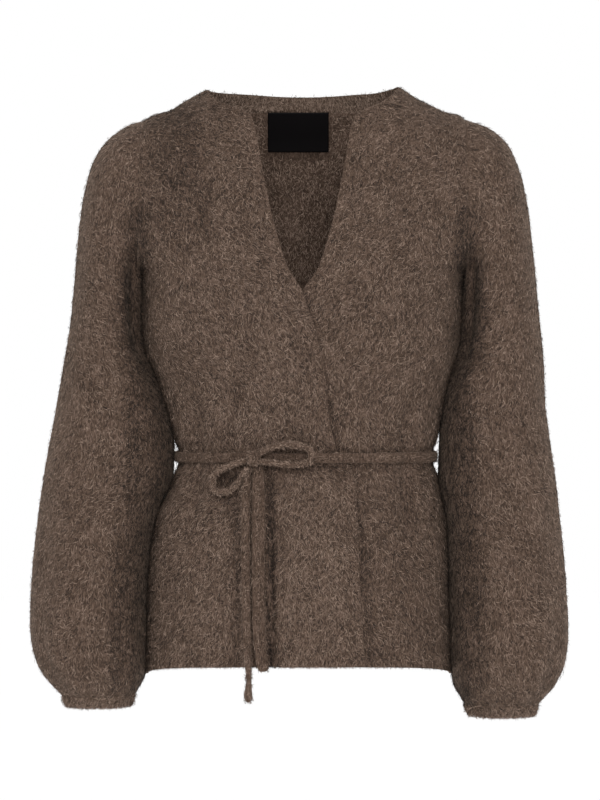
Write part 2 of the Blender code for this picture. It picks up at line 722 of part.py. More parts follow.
def front_surface(obj):
    """The outer front's faceted outside, as y at a place x and z, in millimetres."""
    tree = BVHTree.FromPolygons([vertex.co for vertex in obj.data.vertices],
                                [face.vertices for face in obj.data.polygons])
    ahead = -1.0
    lowest = (HEM_Z + FRONT_HEM_RISE + 2.0) * MM

    def at(x, z):
        start = Vector((x * MM, ahead, max(z * MM, lowest)))
        return tree.ray_cast(start, Vector((0.0, 1.0, 0.0)))[0].y / MM

    return at


def in_front(surface, x, z, off, half):
    """A place off millimetres before all of the front that lies behind a strap."""
    nearest = min(surface(x - half, z), surface(x, z), surface(x + half, z))
    return np.array([x, nearest - off, z])


def strap_on_front(name, surface, ways, flat):
    """A strap in front of the outer front: flat on it, or on its edge as the loops are."""
    wides = [way.wide if flat else way.thick for way in ways]
    thicks = [way.thick if flat else way.wide for way in ways]
    points = [in_front(surface, way.x, way.z, way.off, wide / 2.0)
              for way, wide in zip(ways, wides)]
    outs = [np.array([0.0, -1.0, 0.0])] * len(points)
    swept(name, points, wides, thicks, outs, False, MOHAIR)


def make_knot(surface):
    """The bow's knot, a squat rounded lump whose ends are pulled in."""
    middle = in_front(surface, KNOT[0], KNOT[1], KNOT_OFF, KNOT_HALF[0])
    around = 14
    levels = 8
    squareness = 0.7
    points = [middle + np.array([0.0, 0.0, KNOT_HALF[2]])]
    for level in range(1, levels):
        tilt = math.pi * level / levels
        for step in range(around):
            turn = 2.0 * math.pi * step / around
            ring = power(math.sin(tilt), squareness)
            points.append(middle + np.array([
                KNOT_HALF[0] * ring * power(math.cos(turn), squareness),
                KNOT_HALF[1] * ring * power(math.sin(turn), squareness),
                KNOT_HALF[2] * power(math.cos(tilt), squareness)]))
    points.append(middle - np.array([0.0, 0.0, KNOT_HALF[2]]))
    faces = []
    for step in range(around):
        after = (step + 1) % around
        faces.append((0, 1 + step, 1 + after))
        for level in range(levels - 2):
            here = 1 + level * around
            there = here + around
            faces.append((here + step, there + step, there + after, here + after))
        last = 1 + (levels - 2) * around
        faces.append((last + step, len(points) - 1, last + after))
    solid("belt_knot", points, faces, MOHAIR)


def make_label():
    """The woven label, on the inside of the back just under the ribbed band."""
    columns = 8
    rows = 5
    outside = []
    inside = []
    top_z = band_foot_z(0.0) + LABEL_LAP
    for row in range(rows + 1):
        z = top_z - LABEL_SIZE[1] * row / rows
        outer_line = []
        inner_line = []
        for column in range(columns + 1):
            local_x = LABEL_SIZE[0] * (column / columns - 0.5) - 5.0
            angle = angle_at(local_x, z)
            depth = WALL + 0.9
            outer_line.append(torso_point(angle, z, BACK, -depth))
            inner_line.append(torso_point(angle, z, BACK, -depth - LABEL_THICK))
        outside.append(outer_line)
        inside.append(inner_line)
    wall("label", np.array(outside), np.array(inside), False, SATIN)


def main():
    for obj in list(bpy.data.objects):
        bpy.data.objects.remove(obj, do_unlink=True)
    outer, outer_object = make_front("front_outer", -1.0)
    under, _ = make_front("front_under", 1.0)
    back = make_back()
    make_band()
    for name, side in (("right", -1.0), ("left", 1.0)):
        make_sleeve("sleeve_" + name, side)
        make_cuff("cuff_" + name, side)
    make_belt(outer, under, back)
    surface = front_surface(outer_object)
    make_knot(surface)
    strap_on_front("belt_loop_right", surface, LOOP_RIGHT, False)
    strap_on_front("belt_loop_left", surface, LOOP_LEFT, False)
    strap_on_front("belt_tail_short", surface, TAIL_SHORT, True)
    strap_on_front("belt_tail_long", surface, TAIL_LONG, True)
    make_label()


main()
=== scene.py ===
"""Looks of the wrap cardigan: a brushed mohair knit with its nap, ribbed bands, bow and bare label.

Tables are in millimetres and MM turns them to metres. +X is the wearer's left and -Y the front.
"""

import math
from collections import namedtuple

import bpy
import numpy as np
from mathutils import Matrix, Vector
from mathutils.bvhtree import BVHTree


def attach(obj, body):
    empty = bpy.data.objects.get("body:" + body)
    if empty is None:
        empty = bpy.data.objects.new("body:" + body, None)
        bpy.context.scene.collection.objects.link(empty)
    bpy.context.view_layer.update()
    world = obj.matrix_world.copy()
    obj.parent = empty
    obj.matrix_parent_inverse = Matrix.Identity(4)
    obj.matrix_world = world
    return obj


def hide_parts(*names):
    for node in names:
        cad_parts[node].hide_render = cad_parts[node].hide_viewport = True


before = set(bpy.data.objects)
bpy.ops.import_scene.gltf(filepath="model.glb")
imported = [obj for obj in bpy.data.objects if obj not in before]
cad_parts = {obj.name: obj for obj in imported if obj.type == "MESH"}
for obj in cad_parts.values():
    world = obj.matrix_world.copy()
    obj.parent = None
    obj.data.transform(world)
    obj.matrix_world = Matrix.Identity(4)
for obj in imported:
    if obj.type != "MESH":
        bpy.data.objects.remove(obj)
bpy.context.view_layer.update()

MM = 0.001

# The cut of the garment, as in the solids
WALL = 3.0                 # knit without the nap that stands on it
NAP_DEPTH = 0.7            # the knit's outside lies this far under the solid's
SEAM = -0.6                # the sleeves' heads are pulled into the armholes
SEAM_LAP = 0.5             # panels pass the plane of the side and shoulder seams by this
SQUARENESS = 2.4           # of the torso's sections, where 2 would make them ellipses
ARM_SQUARENESS = 2.15
ARMHOLE_X = 172.0
SHOULDER_TIP_Z = -34.0
ARMPIT_Z = -200.0
SHOULDER_SWAY = 2.0        # the shoulders' middle lies this far towards +X
ARMHOLE_SPARE = 4.0        # a sleeve's inside keeps out of the body down to this far under the armpit
BELT_Z = -392.0
BELT_WIDTH = 10.5
BELT_THICK = 3.6
BELT_CLEAR = 0.3
BELT_STEP = 9.0            # past the outer front's edge the belt steps down to the under one
OVERLAP_LIFT = 4.1
OVERLAP_RAMP = 45.0
OVERLAP_SPARE = 6.0        # the lift is full this far before the under front's hidden edge
TUCK = 1.6
TUCK_RAMP = 30.0
LABEL_SIZE = (67.0, 41.5)
LABEL_LAP = 0.2
LABEL_X = -5.0             # its middle, from the torso's own
LABEL_FACES = (-4.15, -4.9)          # how far they lie beyond the back's outside
LABEL_GRID = (41, 27)
BARE = (-42.0, 33.0, -66.0, -15.0)   # x and z between which no hair stands before the label
SLEEVE_EXTRA_LEFT = 10.0

FRONT = -1.0
BACK = 1.0
LEFT = 1.0
RIGHT = -1.0


def rows_of(kind, rows):
    return [kind(*row) for row in rows]


# Sections of the torso, and how far the fronts' free edges pass the middle
Section = namedtuple("Section", "z half_width front back sway")
TORSO = rows_of(Section, [
    (0, 103.5, 48, 55, 2), (-8, 118, 53, 60, 2), (-21, 145, 60, 67, 2), (-34, 172, 67, 73, 2),
    (-50, 200, 74, 80, 2), (-80, 222, 84, 89, 2), (-120, 226, 96, 98, 2), (-160, 209, 106, 105, 2),
    (-185, 187, 111, 108, 2), (-200, 172, 113, 109, 2), (-222, 171, 115, 110, 1),
    (-270, 169.5, 113, 107, 0.5), (-303, 158.5, 109, 101, 2), (-350, 146, 99, 91, 4),
    (-374, 140.5, 94.5, 87, 5), (-385, 136.6, 91.6, 84.6, 5), (-399, 136.6, 91.6, 84.6, 5),
    (-410, 140.5, 95, 89, 5), (-425, 144.5, 98.5, 95, 4), (-450, 153.5, 103, 104, 1),
    (-480, 159, 106.5, 111, -1.5), (-520, 161.5, 109, 116, -3), (-570, 163, 111, 119, -3),
    (-624, 164, 112.5, 120, -2.5),
])

Edge = namedtuple("Edge", "z past")
FRONT_EDGE = rows_of(Edge, [
    (-607, 68.5), (-540, 64.5), (-475, 60), (-430, 53), (-403, 46), (-385, 32), (-350, 25), (-305, 22.5),
    (-254, 13), (-233, 4.5), (-219, 0), (-195, -16), (-163, -26), (-132, -34), (-102, -40), (-75, -45),
    (-50, -49.5), (-33, -54.5), (-26, -65), (-21, -78), (-16, -88.5), (-9, -97), (-4, -101), (0, -103.5),
])

# Heights of the solids' rows: below the V and the armholes, then along the V
LOW_ROWS = [-624, -598, -567, -535, -502, -470, -443, -422, -408, -399, BELT_Z, -385, -374, -357,
            -332, -302, -270, -240, -218]
NECK_ROWS = [-219, -195, -163, -132, -102, -75, -50, -33, -26, -21, -16, -9, -4, 0]
HEM_Z = LOW_ROWS[0]
HEM_START_Z = -470.0       # from here down the rows bend with the hem
FRONT_HEM_RISE = 17.0
BACK_HEM_RISE = 6.0
ARMHOLE_BEND_Z = -330.0    # from here up a front's rows bend from the side to the V
NECK_DIP = 8.0             # how much lower the back's rows are at the middle of the neck
BACK_TOP_ROW = (-30.5, -21.0)        # at the middle and at the ends
BAND_FOOT = (-18.2, 10.2)            # the band's lower edge at the middle, and its rise to the ends
BAND_TOP_DIP = 2.2
BAND_LAP = 0.8
BAND_STEPS = (0.34, 0.67, 1.0)       # rows between the back's last one and the band
BAND_ROLL = 1.2
CUFF_ROLL = 1.6

# How finely the cloth is drawn
ROW_STEPS = 3              # rows of cloth for each row of the solids
FRONT_COLUMNS = 60
BACK_COLUMNS = 90
RING_STEPS = 3
ARM_COLUMNS = 72
RIB_ROWS = 6
RIB_COLUMNS = 8            # for each rib
INNER_ROWS = 15            # rows of the back's solid, from the top, whose inside shows

# Creases that start and end flat, and the shoulders' unevenness
Fold = namedtuple("Fold", "x_top x_low z_top z_low reach depth")
TORSO_FOLDS = {
    FRONT: rows_of(Fold, [
        (-110, -98, -45, -200, 15, 5), (95, 108, -70, -190, 15, 2.5), (-117, -110, -305, -400, 12, 4),
        (-74, -70, -335, -398, 10, 2.5), (114, 108, -310, -400, 12, 4), (76, 72, -345, -398, 10, 2.5),
        (106, 113, -388, -480, 12, 4), (-112, -118, -386, -490, 12, 3.5), (-50, -45, -400, -760, 17, 6.5),
        (-76, -80, -398, -640, 11, 4), (-31, -28.5, -393, -760, 5.5, 8), (-68, -67, -402, -760, 5, 4.5),
        (52, 60, -430, -640, 9, 1.5), (-128, -122, -110, -215, 9, 2), (-101, -114, -340, -470, 6, 3),
        (108, 112, -340, -480, 6, 3),
    ]),
    BACK: rows_of(Fold, [
        (-104, -96, -290, -400, 13, 4.5), (-52, -46, -315, -400, 12, 3.5), (8, 4, -300, -402, 12, 3),
        (60, 50, -310, -398, 12, 4), (110, 102, -295, -400, 13, 4), (-98, -112, -386, -540, 15, 4),
        (-30, -34, -386, -500, 14, 3.5), (40, 48, -386, -560, 15, 4.5), (104, 116, -386, -520, 14, 3.5),
        (-120, -108, -90, -230, 15, 3.5), (122, 112, -80, -220, 15, 3.5),
    ]),
}

Lift = namedtuple("Lift", "x reach up")
SHOULDER_LIFTS = rows_of(Lift, [(101, 15, 3.2), (169, 10, 3.5), (-138, 11, -3)])

# Sections of the sleeves and cuffs, and creases by section and degrees round the arm
Ring = namedtuple("Ring", "out_x out_z in_x in_z front back y out_sway in_sway")
SLEEVE = rows_of(Ring, [
    (172.3, -34, 172.3, -200, 70, 72, 0, 2, 2), (184, -36.5, 171.2, -203, 69, 71, 0, 4.5, 2),
    (199, -44, 170.2, -207, 68, 70, 0, 5.5, 2), (215, -58, 169.4, -212, 67, 70, 0, 5, 1.7),
    (228.5, -84, 168.8, -219, 66, 70, 0, 4, 1.4), (237, -118, 168.4, -228, 65.5, 69.5, 0, 4, 1),
    (242, -157, 168.2, -240, 65, 69, -1, 4, 0.8), (246, -200, 167.8, -255, 64, 68, -2, 4.5, 0.6),
    (250, -245, 165.8, -275, 63, 67, -4, 4.5, 0.8), (256, -292, 156.5, -302, 62.5, 66, -6, 3, 2),
    (260.5, -336, 146.5, -336, 63, 65, -8, 0, 3.5), (266.5, -375, 141, -375, 64.5, 65, -10, -1, 6),
    (272.5, -413, 140.5, -413, 66.5, 66, -12, -1.5, 5), (277, -449, 151.5, -449, 69, 67.5, -14, -2, 0.7),
    (281.5, -490, 157, -490, 72, 69.5, -16, -2.2, -2.1),
    (284.5, -530, 159.3, -530, 73.5, 70.5, -18, -2.2, -3.2),
    (285.8, -567, 160.3, -567, 72.5, 69.5, -20, -2, -3.2),
    (282.5, -598, 160.8, -598, 67, 64, -21, -1.8, -2.7), (273, -621, 162.9, -621, 57, 54, -22, -1.6, -2),
    (261.5, -635, 169.5, -635, 46, 43, -23, -1.5, -1.5),
    (253, -644, 174.5, -644, 37, 34.5, -23, -1.2, -1.5),
])
CUFF = rows_of(Ring, [
    (253, -642.9, 174.5, -642.9, 37, 34.5, -23, -1.2, -1.5),
    (249, -655.3, 179, -655.3, 32, 30, -23, -1, -1.5),
])
CUFF_RIBS = 30
BAND_RIBS = 66
RIB_HEIGHT = 0.6

ArmFold = namedtuple("ArmFold", "first last angle_first angle_last reach depth")
ARM_FOLDS = rows_of(ArmFold, [
    (0.6, 10, 126, 152, 15, 11), (0.6, 10, 234, 208, 15, 9), (0.5, 6, 62, 80, 14, 3),
    (1, 7, 300, 280, 14, 3), (8, 13.5, 120, 70, 16, 4), (9.5, 14, 250, 290, 16, 3.5),
    (12, 16.5, 30, 60, 15, 2.5), (14.5, 20.5, 40, 44, 10, 3.5), (15, 20.5, 86, 82, 10, 3.5),
    (14, 20.5, 128, 122, 10, 3), (15, 20.5, 235, 238, 10, 3.5), (14.5, 20.5, 278, 276, 10, 3),
    (15, 20.5, 322, 318, 10, 3),
])

# The bow: places before the outer front, off of it, along each strap's middle
KNOT = (-49.0, -392.0)
KNOT_HALF = (6.5, 5.6, 7.4)
KNOT_OFF = 10.9
KNOT_GRID = (19, 28)
KNOT_ROUND = 0.7
Way = namedtuple("Way", "x z off wide thick")
LOOP_RIGHT = rows_of(Way, [
    (-56, -394.6, 12, 8, 5), (-64, -396.5, 11, 8.5, 5.2), (-76, -401, 9, 9, 5.4),
    (-86, -406, 7.5, 9, 5.6), (-91.6, -414, 6.5, 9, 5.6), (-90.8, -422.5, 6, 9, 5.6),
    (-84, -427.5, 6, 9, 5.6), (-75, -425.5, 6.5, 9, 5.6), (-67, -419, 8.5, 8.5, 5.4),
    (-61.5, -411, 12.5, 7.5, 4.8), (-56.5, -402.6, 12.9, 7, 4.6),
])
LOOP_LEFT = rows_of(Way, [
    (-42, -387.6, 11.3, 8, 5), (-34.5, -382.5, 11.5, 8.5, 5.4), (-25, -379, 11, 8.5, 5.8),
    (-11, -377.8, 10.5, 8.5, 6), (2, -379.8, 10.5, 8.5, 6), (10, -385.2, 10.5, 8.5, 6),
    (10, -393, 10.8, 8.5, 6), (2, -397.6, 11, 8.5, 6), (-10, -398.4, 11.2, 8.5, 5.6),
    (-27, -397, 11.5, 8.5, 5.2), (-42.6, -395.6, 11.5, 8, 5),
])
TAIL_SHORT = rows_of(Way, [
    (-45, -399.9, 6.4, 9.5, 4.4), (-44.6, -405, 5.2, 11.5, 4.4), (-44.2, -413, 3.8, 13, 4.2),
    (-44, -425, 2.7, 13.5, 4.2), (-44, -450, 2.6, 13.5, 4.2), (-44.2, -485, 2.6, 13.5, 4.2),
    (-44, -520, 2.6, 13.5, 4.2), (-43.6, -555, 2.6, 13.5, 4.2), (-42.4, -585, 2.7, 12.5, 4.4),
    (-40.4, -600, 3.1, 12, 4.8), (-38.8, -608, 3.1, 11, 4.8), (-38.4, -611, 3.1, 7, 3.6),
])
TAIL_LONG = rows_of(Way, [
    (-53.3, -399.2, 7.7, 6.3, 4.2), (-55.4, -405, 5.4, 7.5, 4.2), (-56.6, -413, 4.2, 8.5, 4.2),
    (-57, -425, 3.2, 9, 4.2), (-57.2, -450, 3, 9, 4.2), (-57.2, -485, 3, 9, 4.2), (-57, -520, 3, 9, 4.2),
    (-56.6, -555, 3, 9, 4.2), (-55.6, -585, 3, 8.5, 4.2), (-54.6, -600, 3, 7, 4.2),
    (-54, -612, 3, 5, 4.4), (-54, -622, 3.2, 5, 4.6), (-54.2, -630, 3.6, 7.2, 5.8),
    (-54.4, -637, 3.8, 8.2, 6.4), (-54.4, -641, 3.8, 6, 4.6), (-54.4, -643.2, 3.8, 2.2, 1.8),
])
STRAP_SIDES = 16
STRAP_ROUND = 0.75
WAY_STEPS = 5

# The nap of each piece: how many hairs, their length, how far their tips stand off, their width
# and how much lighter than the middle shade they are
Nap = namedtuple("Nap", "hairs shortest longest lift width lighter")
NAP = {
    "back": Nap(45000, 4, 10.5, 0.6, 0.52, 0),
    "front_outer": Nap(84000, 4, 10.5, 0.6, 0.48, -0.01),
    "front_under": Nap(60000, 4, 10.5, 0.6, 0.48, -0.03),
    "sleeve": Nap(69500, 4, 10.5, 0.6, 0.48, 0),
    "cuff": Nap(7500, 4, 10, 0.9, 0.52, 0.09),
    # painted light: the neck_band row (the band's inner face) and the inside row are lighter to stand for
    # light falling into the garment's hollow, and the belt, loop, tail and knot rows are lighter to stand
    # for light on the raised straps
    "neck_band": Nap(7000, 2.5, 6, 0.6, 0.56, 0.48),
    "band_back": Nap(3500, 3, 6, 0.5, 0.54, 0),
    "inside": Nap(17000, 3, 8, 0.5, 0.6, 0.5),
    "belt": Nap(7500, 3, 7.5, 0.7, 0.52, 0.05),
    "loop": Nap(1800, 2.5, 5, 0.45, 0.56, 0.14),
    "tail": Nap(3800, 3, 7, 0.5, 0.54, 0.08),
    "knot": Nap(800, 2, 4.5, 0.45, 0.56, 0.1),
}
STRAY_SHARE = 0.14
STRAY_LIFT = 3.6
EDGE_HAIR = 0.8            # what reaches past a free edge
HEM_HAIR = 1.2             # and what more reaches past the hem
# painted shade: where the nap is painted darker, every hair drawn is kept, so the knit under it shows less
SPARE = 1.3                # hairs drawn for each one kept, outside the dark places
CROWDED = 0.15             # places darker by more than this keep every hair drawn
CROSSED_SHARE = 0.2        # hairs that lie any way at all
CURL = 0.48                # how far a hair turns at its middle, in radians

# Painted shade on the nap of the fronts: under the bow, along creases and the edges of laps, along the
# belt and in broad patches on a shoulder and the skirt; where darker is negative it is painted light
PaintedShadeLine = namedtuple("PaintedShadeLine", "x_top z_top x_low z_low reach darker")
PAINTED_SHADE_AND_LIGHT = {
    "front_outer": rows_of(PaintedShadeLine, [
        (-86, -414, -62, -408, 6.5, 0.4), (-24, -389.5, 2, -389.5, 3.6, 0.45),
        (16, -379, 17, -383, 3, 0.35), (18, -392, 17, -396, 3.5, 0.35), (-33, -401, -30, -470, 5, 0.5),
        (-30, -470, -28.5, -624, 5, 0.42), (-52.5, -470, -50.5, -612, 2.2, 0.3),
        (-64, -430, -66, -624, 3, 0.25), (-74, -432, -60, -462, 10, 0.2),
        (-132, -381.5, -60, -383.5, 3, 0.06), (20, -384, 46, -384, 3, 0.28),
        (-132, -401, -92, -401, 3, 0.08), (-48, -401, 46, -401, 3, 0.25),
        (16.5, -346, 19, -350, 3.5, 0.25), (-130, -45, -128, -120, 34, 0.22),
        (18, -430, 24, -600, 34, -0.07),
    ]),
    "front_under": rows_of(PaintedShadeLine, [
        (104, -420, 112, -600, 34, 0.1), (4.5, -222, 14, -250, 2.2, 0.4), (14, -250, 27, -330, 2.4, 0.22),
        (27, -330, 38, -383, 3.5, 0.4), (52, -405, 64, -480, 5, 0.28), (64, -480, 72, -612, 5.5, 0.3),
        (46, -384, 132, -381.5, 3, 0.25), (46, -401, 132, -401, 3, 0.22),
    ]),
}
# painted shade: the nap is darkened where the sleeves meet the body's sides and round the armpits, where
# shade falls between the parts
ARM_GAP_SHADE = 0.8               # how much darker the nap is where the sleeves and the sides meet
FLANK_SHARE = 0.4          # of it on the body's side
FOREARM_EASE = 0.35        # how much less of it there is towards the cuffs
ARMPIT_PAINTED_SHADE = 0.6
ARMPIT_REACH = 11.0


def curve_through(stations, values):
    """A smooth curve through the values that never overshoots them."""
    order = np.argsort(stations)
    xs = np.asarray(stations, float)[order]
    ys = np.asarray(values, float)[order]
    steps = np.diff(xs)
    slopes = np.diff(ys) / steps
    tangents = np.zeros_like(ys)
    before = slopes[:-1]
    after = slopes[1:]
    same = before * after > 0
    total = np.where(same, before + after, 1.0)
    tangents[1:-1] = np.where(same, 2.0 * before * after / total, 0.0)
    tangents[0] = slopes[0]
    tangents[-1] = slopes[-1]

    def value(at):
        at = np.clip(at, xs[0], xs[-1])
        index = np.clip(np.searchsorted(xs, at) - 1, 0, len(steps) - 1)
        step = steps[index]
        t = (at - xs[index]) / step
        rise = t * t * (3.0 - 2.0 * t)
        start = t * (1.0 - t) * (1.0 - t)
        end = t * t * (t - 1.0)
        return (ys[index] * (1.0 - rise) + ys[index + 1] * rise
                + step * (start * tangents[index] + end * tangents[index + 1]))

    return value


def columns_of(table, station=None):
    """A smooth curve for each column of a table, over its station column or the rows' numbers."""
    stations = [getattr(row, station) for row in table] if station else range(len(table))
    return {name: curve_through(stations, [getattr(row, name) for row in table])
            for name in table[0]._fields if name != station}


torso = columns_of(TORSO, "z")
edge_past = columns_of(FRONT_EDGE, "z")["past"]
sleeve_columns = columns_of(SLEEVE)
cuff_columns = columns_of(CUFF)


def ramp(value, start, end):
    """0 to 1, smoothly, while the value goes from start to end."""
    share = np.clip((value - start) / (end - start), 0.0, 1.0)
    return share * share * (3.0 - 2.0 * share)


def power(value, exponent):
    return np.sign(value) * np.abs(value) ** exponent


def unit(vectors):
    return vectors / np.maximum(np.linalg.norm(vectors, axis=-1, keepdims=True), 1e-9)


def angle_at(local_x, z):
    """The torso angle of a place at local_x from the middle line, 90 degrees at the seam."""
    share = np.clip(local_x / torso["half_width"](z), -1.0, 1.0)
    return np.arcsin(power(share, SQUARENESS / 2.0))


def fold_depth(face, x, z):
    depth = np.zeros_like(x)
    for fold in TORSO_FOLDS[face]:
        down = np.clip((fold.z_top - z) / (fold.z_top - fold.z_low), 0.0, 1.0)
        middle = fold.x_top + (fold.x_low - fold.x_top) * down
        across = (x - middle) / fold.reach
        depth += fold.depth * np.sin(math.pi * down) * np.exp(-across * across)
    return depth


def shoulder_lift(x, z):
    """How far the shoulders' line rises or sinks, uneven as the photo shows."""
    up = sum(lift.up * np.exp(-((x - lift.x) / lift.reach) ** 2) for lift in SHOULDER_LIFTS)
    return up * ramp(z, -60.0, -35.0)


def torso_point(angle, z, face, out=0.0):
    """Points of the torso's outside, and out millimetres beyond it."""
    width = torso["half_width"](z)
    depth = torso["front" if face == FRONT else "back"](z)
    sway = torso["sway"](z)
    side = np.sin(angle)
    ahead = np.maximum(np.cos(angle), 0.0)
    x = width * power(side, 2.0 / SQUARENESS)
    y = depth * power(ahead, 2.0 / SQUARENESS)
    steep = 2.0 * (SQUARENESS - 1.0) / SQUARENESS
    normal_x = power(side, steep) / width
    normal_y = power(ahead, steep) / depth
    length = np.hypot(normal_x, normal_y)
    out = out - fold_depth(face, x + sway, z)
    x = x + out * normal_x / length
    y = y + out * normal_y / length
    return np.stack([x + sway, face * y, z + shoulder_lift(x + sway, z)], axis=-1)


def overlap_lift(local_x, z):
    """How far the outer front stands off where the other front lies under it."""
    hidden = -edge_past(np.minimum(z, NECK_ROWS[0])) - OVERLAP_SPARE
    across = ramp(local_x, hidden - OVERLAP_RAMP, hidden)
    return OVERLAP_LIFT * across * ramp(z, -130.0, ARMPIT_Z)


def hidden_tuck(local_x, z):
    """How far the under front is tucked in where the outer one covers it."""
    tucked = TUCK * ramp(edge_past(z) - local_x, 0.0, TUCK_RAMP)
    return np.where(z > NECK_ROWS[0], 0.0, tucked)


def near_hem(z):
    return ramp(z, HEM_START_Z, HEM_Z)


def armhole_z(angle):
    """Heights round the armhole, at an angle from the shoulder's tip."""
    return ((SHOULDER_TIP_Z + ARMPIT_Z) / 2.0
            + (SHOULDER_TIP_Z - ARMPIT_Z) / 2.0 * np.cos(angle))


low_rows = np.array(LOW_ROWS)
armhole_rows = armhole_z(np.linspace(math.pi, 0.0, len(NECK_ROWS)))


def outer_angle(z):
    """The angle where a panel ends: the side seam, or the armhole's plane."""
    beside = (z > ARMPIT_Z) & (z < SHOULDER_TIP_Z)
    return np.where(beside, angle_at(ARMHOLE_X, z), math.pi / 2.0)


def fine_places(count, steps):
    """Places along count rows, with this many steps from each row to the next."""
    return np.linspace(0.0, count - 1.0, (count - 1) * steps + 1)


def finer(values, steps=ROW_STEPS):
    """Values given for each row of a solid, smoothly at the places between them too."""
    return curve_through(range(len(values)), values)(fine_places(len(values), steps))


def front_grid(side):
    """Outside of a front, rows from hem to shoulder, columns from free edge to side."""
    bend = (NECK_ROWS[0] - ARMPIT_Z) * ramp(low_rows, ARMHOLE_BEND_Z, ARMPIT_Z)
    inner_z = finer([*(low_rows + FRONT_HEM_RISE * near_hem(low_rows) + bend), *NECK_ROWS])[:, None]
    outer_z = finer([*low_rows, *armhole_rows])[:, None]
    share = np.linspace(0.0, 1.0, FRONT_COLUMNS + 1)[None, :]
    inner_angle = angle_at(-side * edge_past(inner_z), inner_z)
    last_angle = side * outer_angle(outer_z)
    angle = inner_angle + (last_angle - inner_angle) * share
    z = inner_z + (outer_z - inner_z) * share ** (1.0 + 2.0 * near_hem(outer_z))
    local_x = torso_point(angle, z, FRONT)[..., 0] - torso["sway"](z)
    out = overlap_lift(local_x, z) if side == RIGHT else -hidden_tuck(local_x, z)
    return torso_point(angle, z, FRONT, out)


def neck_z(angle):
    """Top edge of the back neck."""
    return -BAND_TOP_DIP * (1.0 - ramp(np.abs(np.sin(angle)), 0.0, 0.6))


def band_foot_z(angle):
    """Lower edge of the ribbed band, where the back panel starts."""
    return BAND_FOOT[0] + BAND_FOOT[1] * np.abs(np.sin(angle)) ** 3


def back_grid():
    """Outside of the back, rows from hem to the neck band, columns from -X to +X."""
    dipped = armhole_rows - NECK_DIP * ramp(armhole_rows, -90.0, SHOULDER_TIP_Z)
    raised = low_rows + BACK_HEM_RISE * near_hem(low_rows)
    middle_z = finer([*raised, *dipped, BACK_TOP_ROW[0]])[:, None]
    end_z = finer([*low_rows, *armhole_rows, BACK_TOP_ROW[1]])[:, None]
    share = np.linspace(-1.0, 1.0, BACK_COLUMNS + 1)[None, :]
    z = middle_z + (end_z - middle_z) * share * share
    angle = share * outer_angle(end_z)
    grid = torso_point(angle, z, BACK)
    top_angle = share[0] * math.pi / 2.0
    top = torso_point(top_angle, band_foot_z(top_angle) + BAND_LAP, BACK)
    between = [grid[-1] * (1.0 - part) + top * part for part in BAND_STEPS]
    return np.concatenate([grid, np.array(between)])


def band_grid(out):
    """A face of the ribbed neck band, moved out by the ribs' own height and by out."""
    columns = RIB_COLUMNS * BAND_RIBS
    angle = np.linspace(-math.pi / 2.0, math.pi / 2.0, columns + 1)[None, :]
    rib = RIB_HEIGHT * np.cos(math.tau * np.arange(columns + 1) / RIB_COLUMNS)
    part = np.linspace(0.0, 1.0, RIB_ROWS)[:, None]
    z = band_foot_z(angle) * (1.0 - part) + neck_z(angle) * part
    rolled = -BAND_ROLL * np.maximum(np.abs(2.0 * part - 1.0) - 0.6, 0.0)
    return torso_point(angle, z, BACK, out + (rib if out > -WALL / 2.0 else -rib) + rolled)


def arm_drop(z, side):
    """The wearer's left sleeve hangs lower, more so towards the cuff."""
    if side == RIGHT:
        return 0.0 * z
    return SLEEVE_EXTRA_LEFT * ramp(z, -300.0, -640.0)


def arm_fold_depth(place, degrees):
    depth = 0.0 * place * degrees
    for fold in ARM_FOLDS:
        down = np.clip((place - fold.first) / (fold.last - fold.first), 0.0, 1.0)
        middle = fold.angle_first + (fold.angle_last - fold.angle_first) * down
        across = ((degrees - middle + 180.0) % 360.0 - 180.0) / fold.reach
        depth += fold.depth * np.sin(math.pi * down) * np.exp(-across * across)
    return depth


def arm_point(ring, angle, side, out):
    """Points of a sleeve's sections, at an angle from the outer point over the front."""
    outer_x = side * ring["out_x"] + ring["out_sway"]
    inner_x = side * ring["in_x"] + ring["in_sway"]
    outer_z = ring["out_z"] - arm_drop(ring["out_z"], side)
    inner_z = ring["in_z"] - arm_drop(ring["in_z"], side)
    half_x = (outer_x - inner_x) / 2.0
    half_z = (outer_z - inner_z) / 2.0
    stretch = 1.0 + out / np.hypot(half_x, half_z)
    depth = np.where(np.sin(angle) > 0.0, ring["front"], ring["back"]) + out
    across = power(np.cos(angle), 2.0 / ARM_SQUARENESS) * stretch
    ahead = power(np.sin(angle), 2.0 / ARM_SQUARENESS)
    x = (outer_x + inner_x) / 2.0 + half_x * across
    z = (outer_z + inner_z) / 2.0 + half_z * across
    return np.stack([x, ring["y"] - depth * ahead, z + shoulder_lift(x, z)], axis=-1)


def ring_at(columns, place):
    return {name: curve(place) for name, curve in columns.items()}


def sleeve_grid(side):
    """Outside of a sleeve from the armhole's own outline down, columns round the arm."""
    angle = np.linspace(0.0, math.tau, ARM_COLUMNS + 1)[:-1]
    z = armhole_z(angle)
    before = torso_point(side * outer_angle(z), z, FRONT)
    behind = torso_point(side * outer_angle(z), z, BACK)
    armhole = np.where((angle <= math.pi)[:, None], before, behind)
    armhole[:, 0] += side * SEAM
    first = arm_point(ring_at(sleeve_columns, np.zeros((1, 1))), angle[None, :], side, 0.0)[0]
    places = fine_places(len(SLEEVE), RING_STEPS)[:, None]
    folds = arm_fold_depth(places, np.degrees(angle)[None, :])
    grid = arm_point(ring_at(sleeve_columns, places), angle[None, :], side, -folds)
    near = np.clip(1.0 - places, 0.0, 1.0)
    shift = armhole - first
    grid[..., 0] += near * shift[:, 0]
    grid[..., 2] += near * shift[:, 2]
    grid[..., 1] += (1.0 - ramp(places, 0.0, 4.0)) * shift[:, 1]
    grid[0] = armhole
    return grid


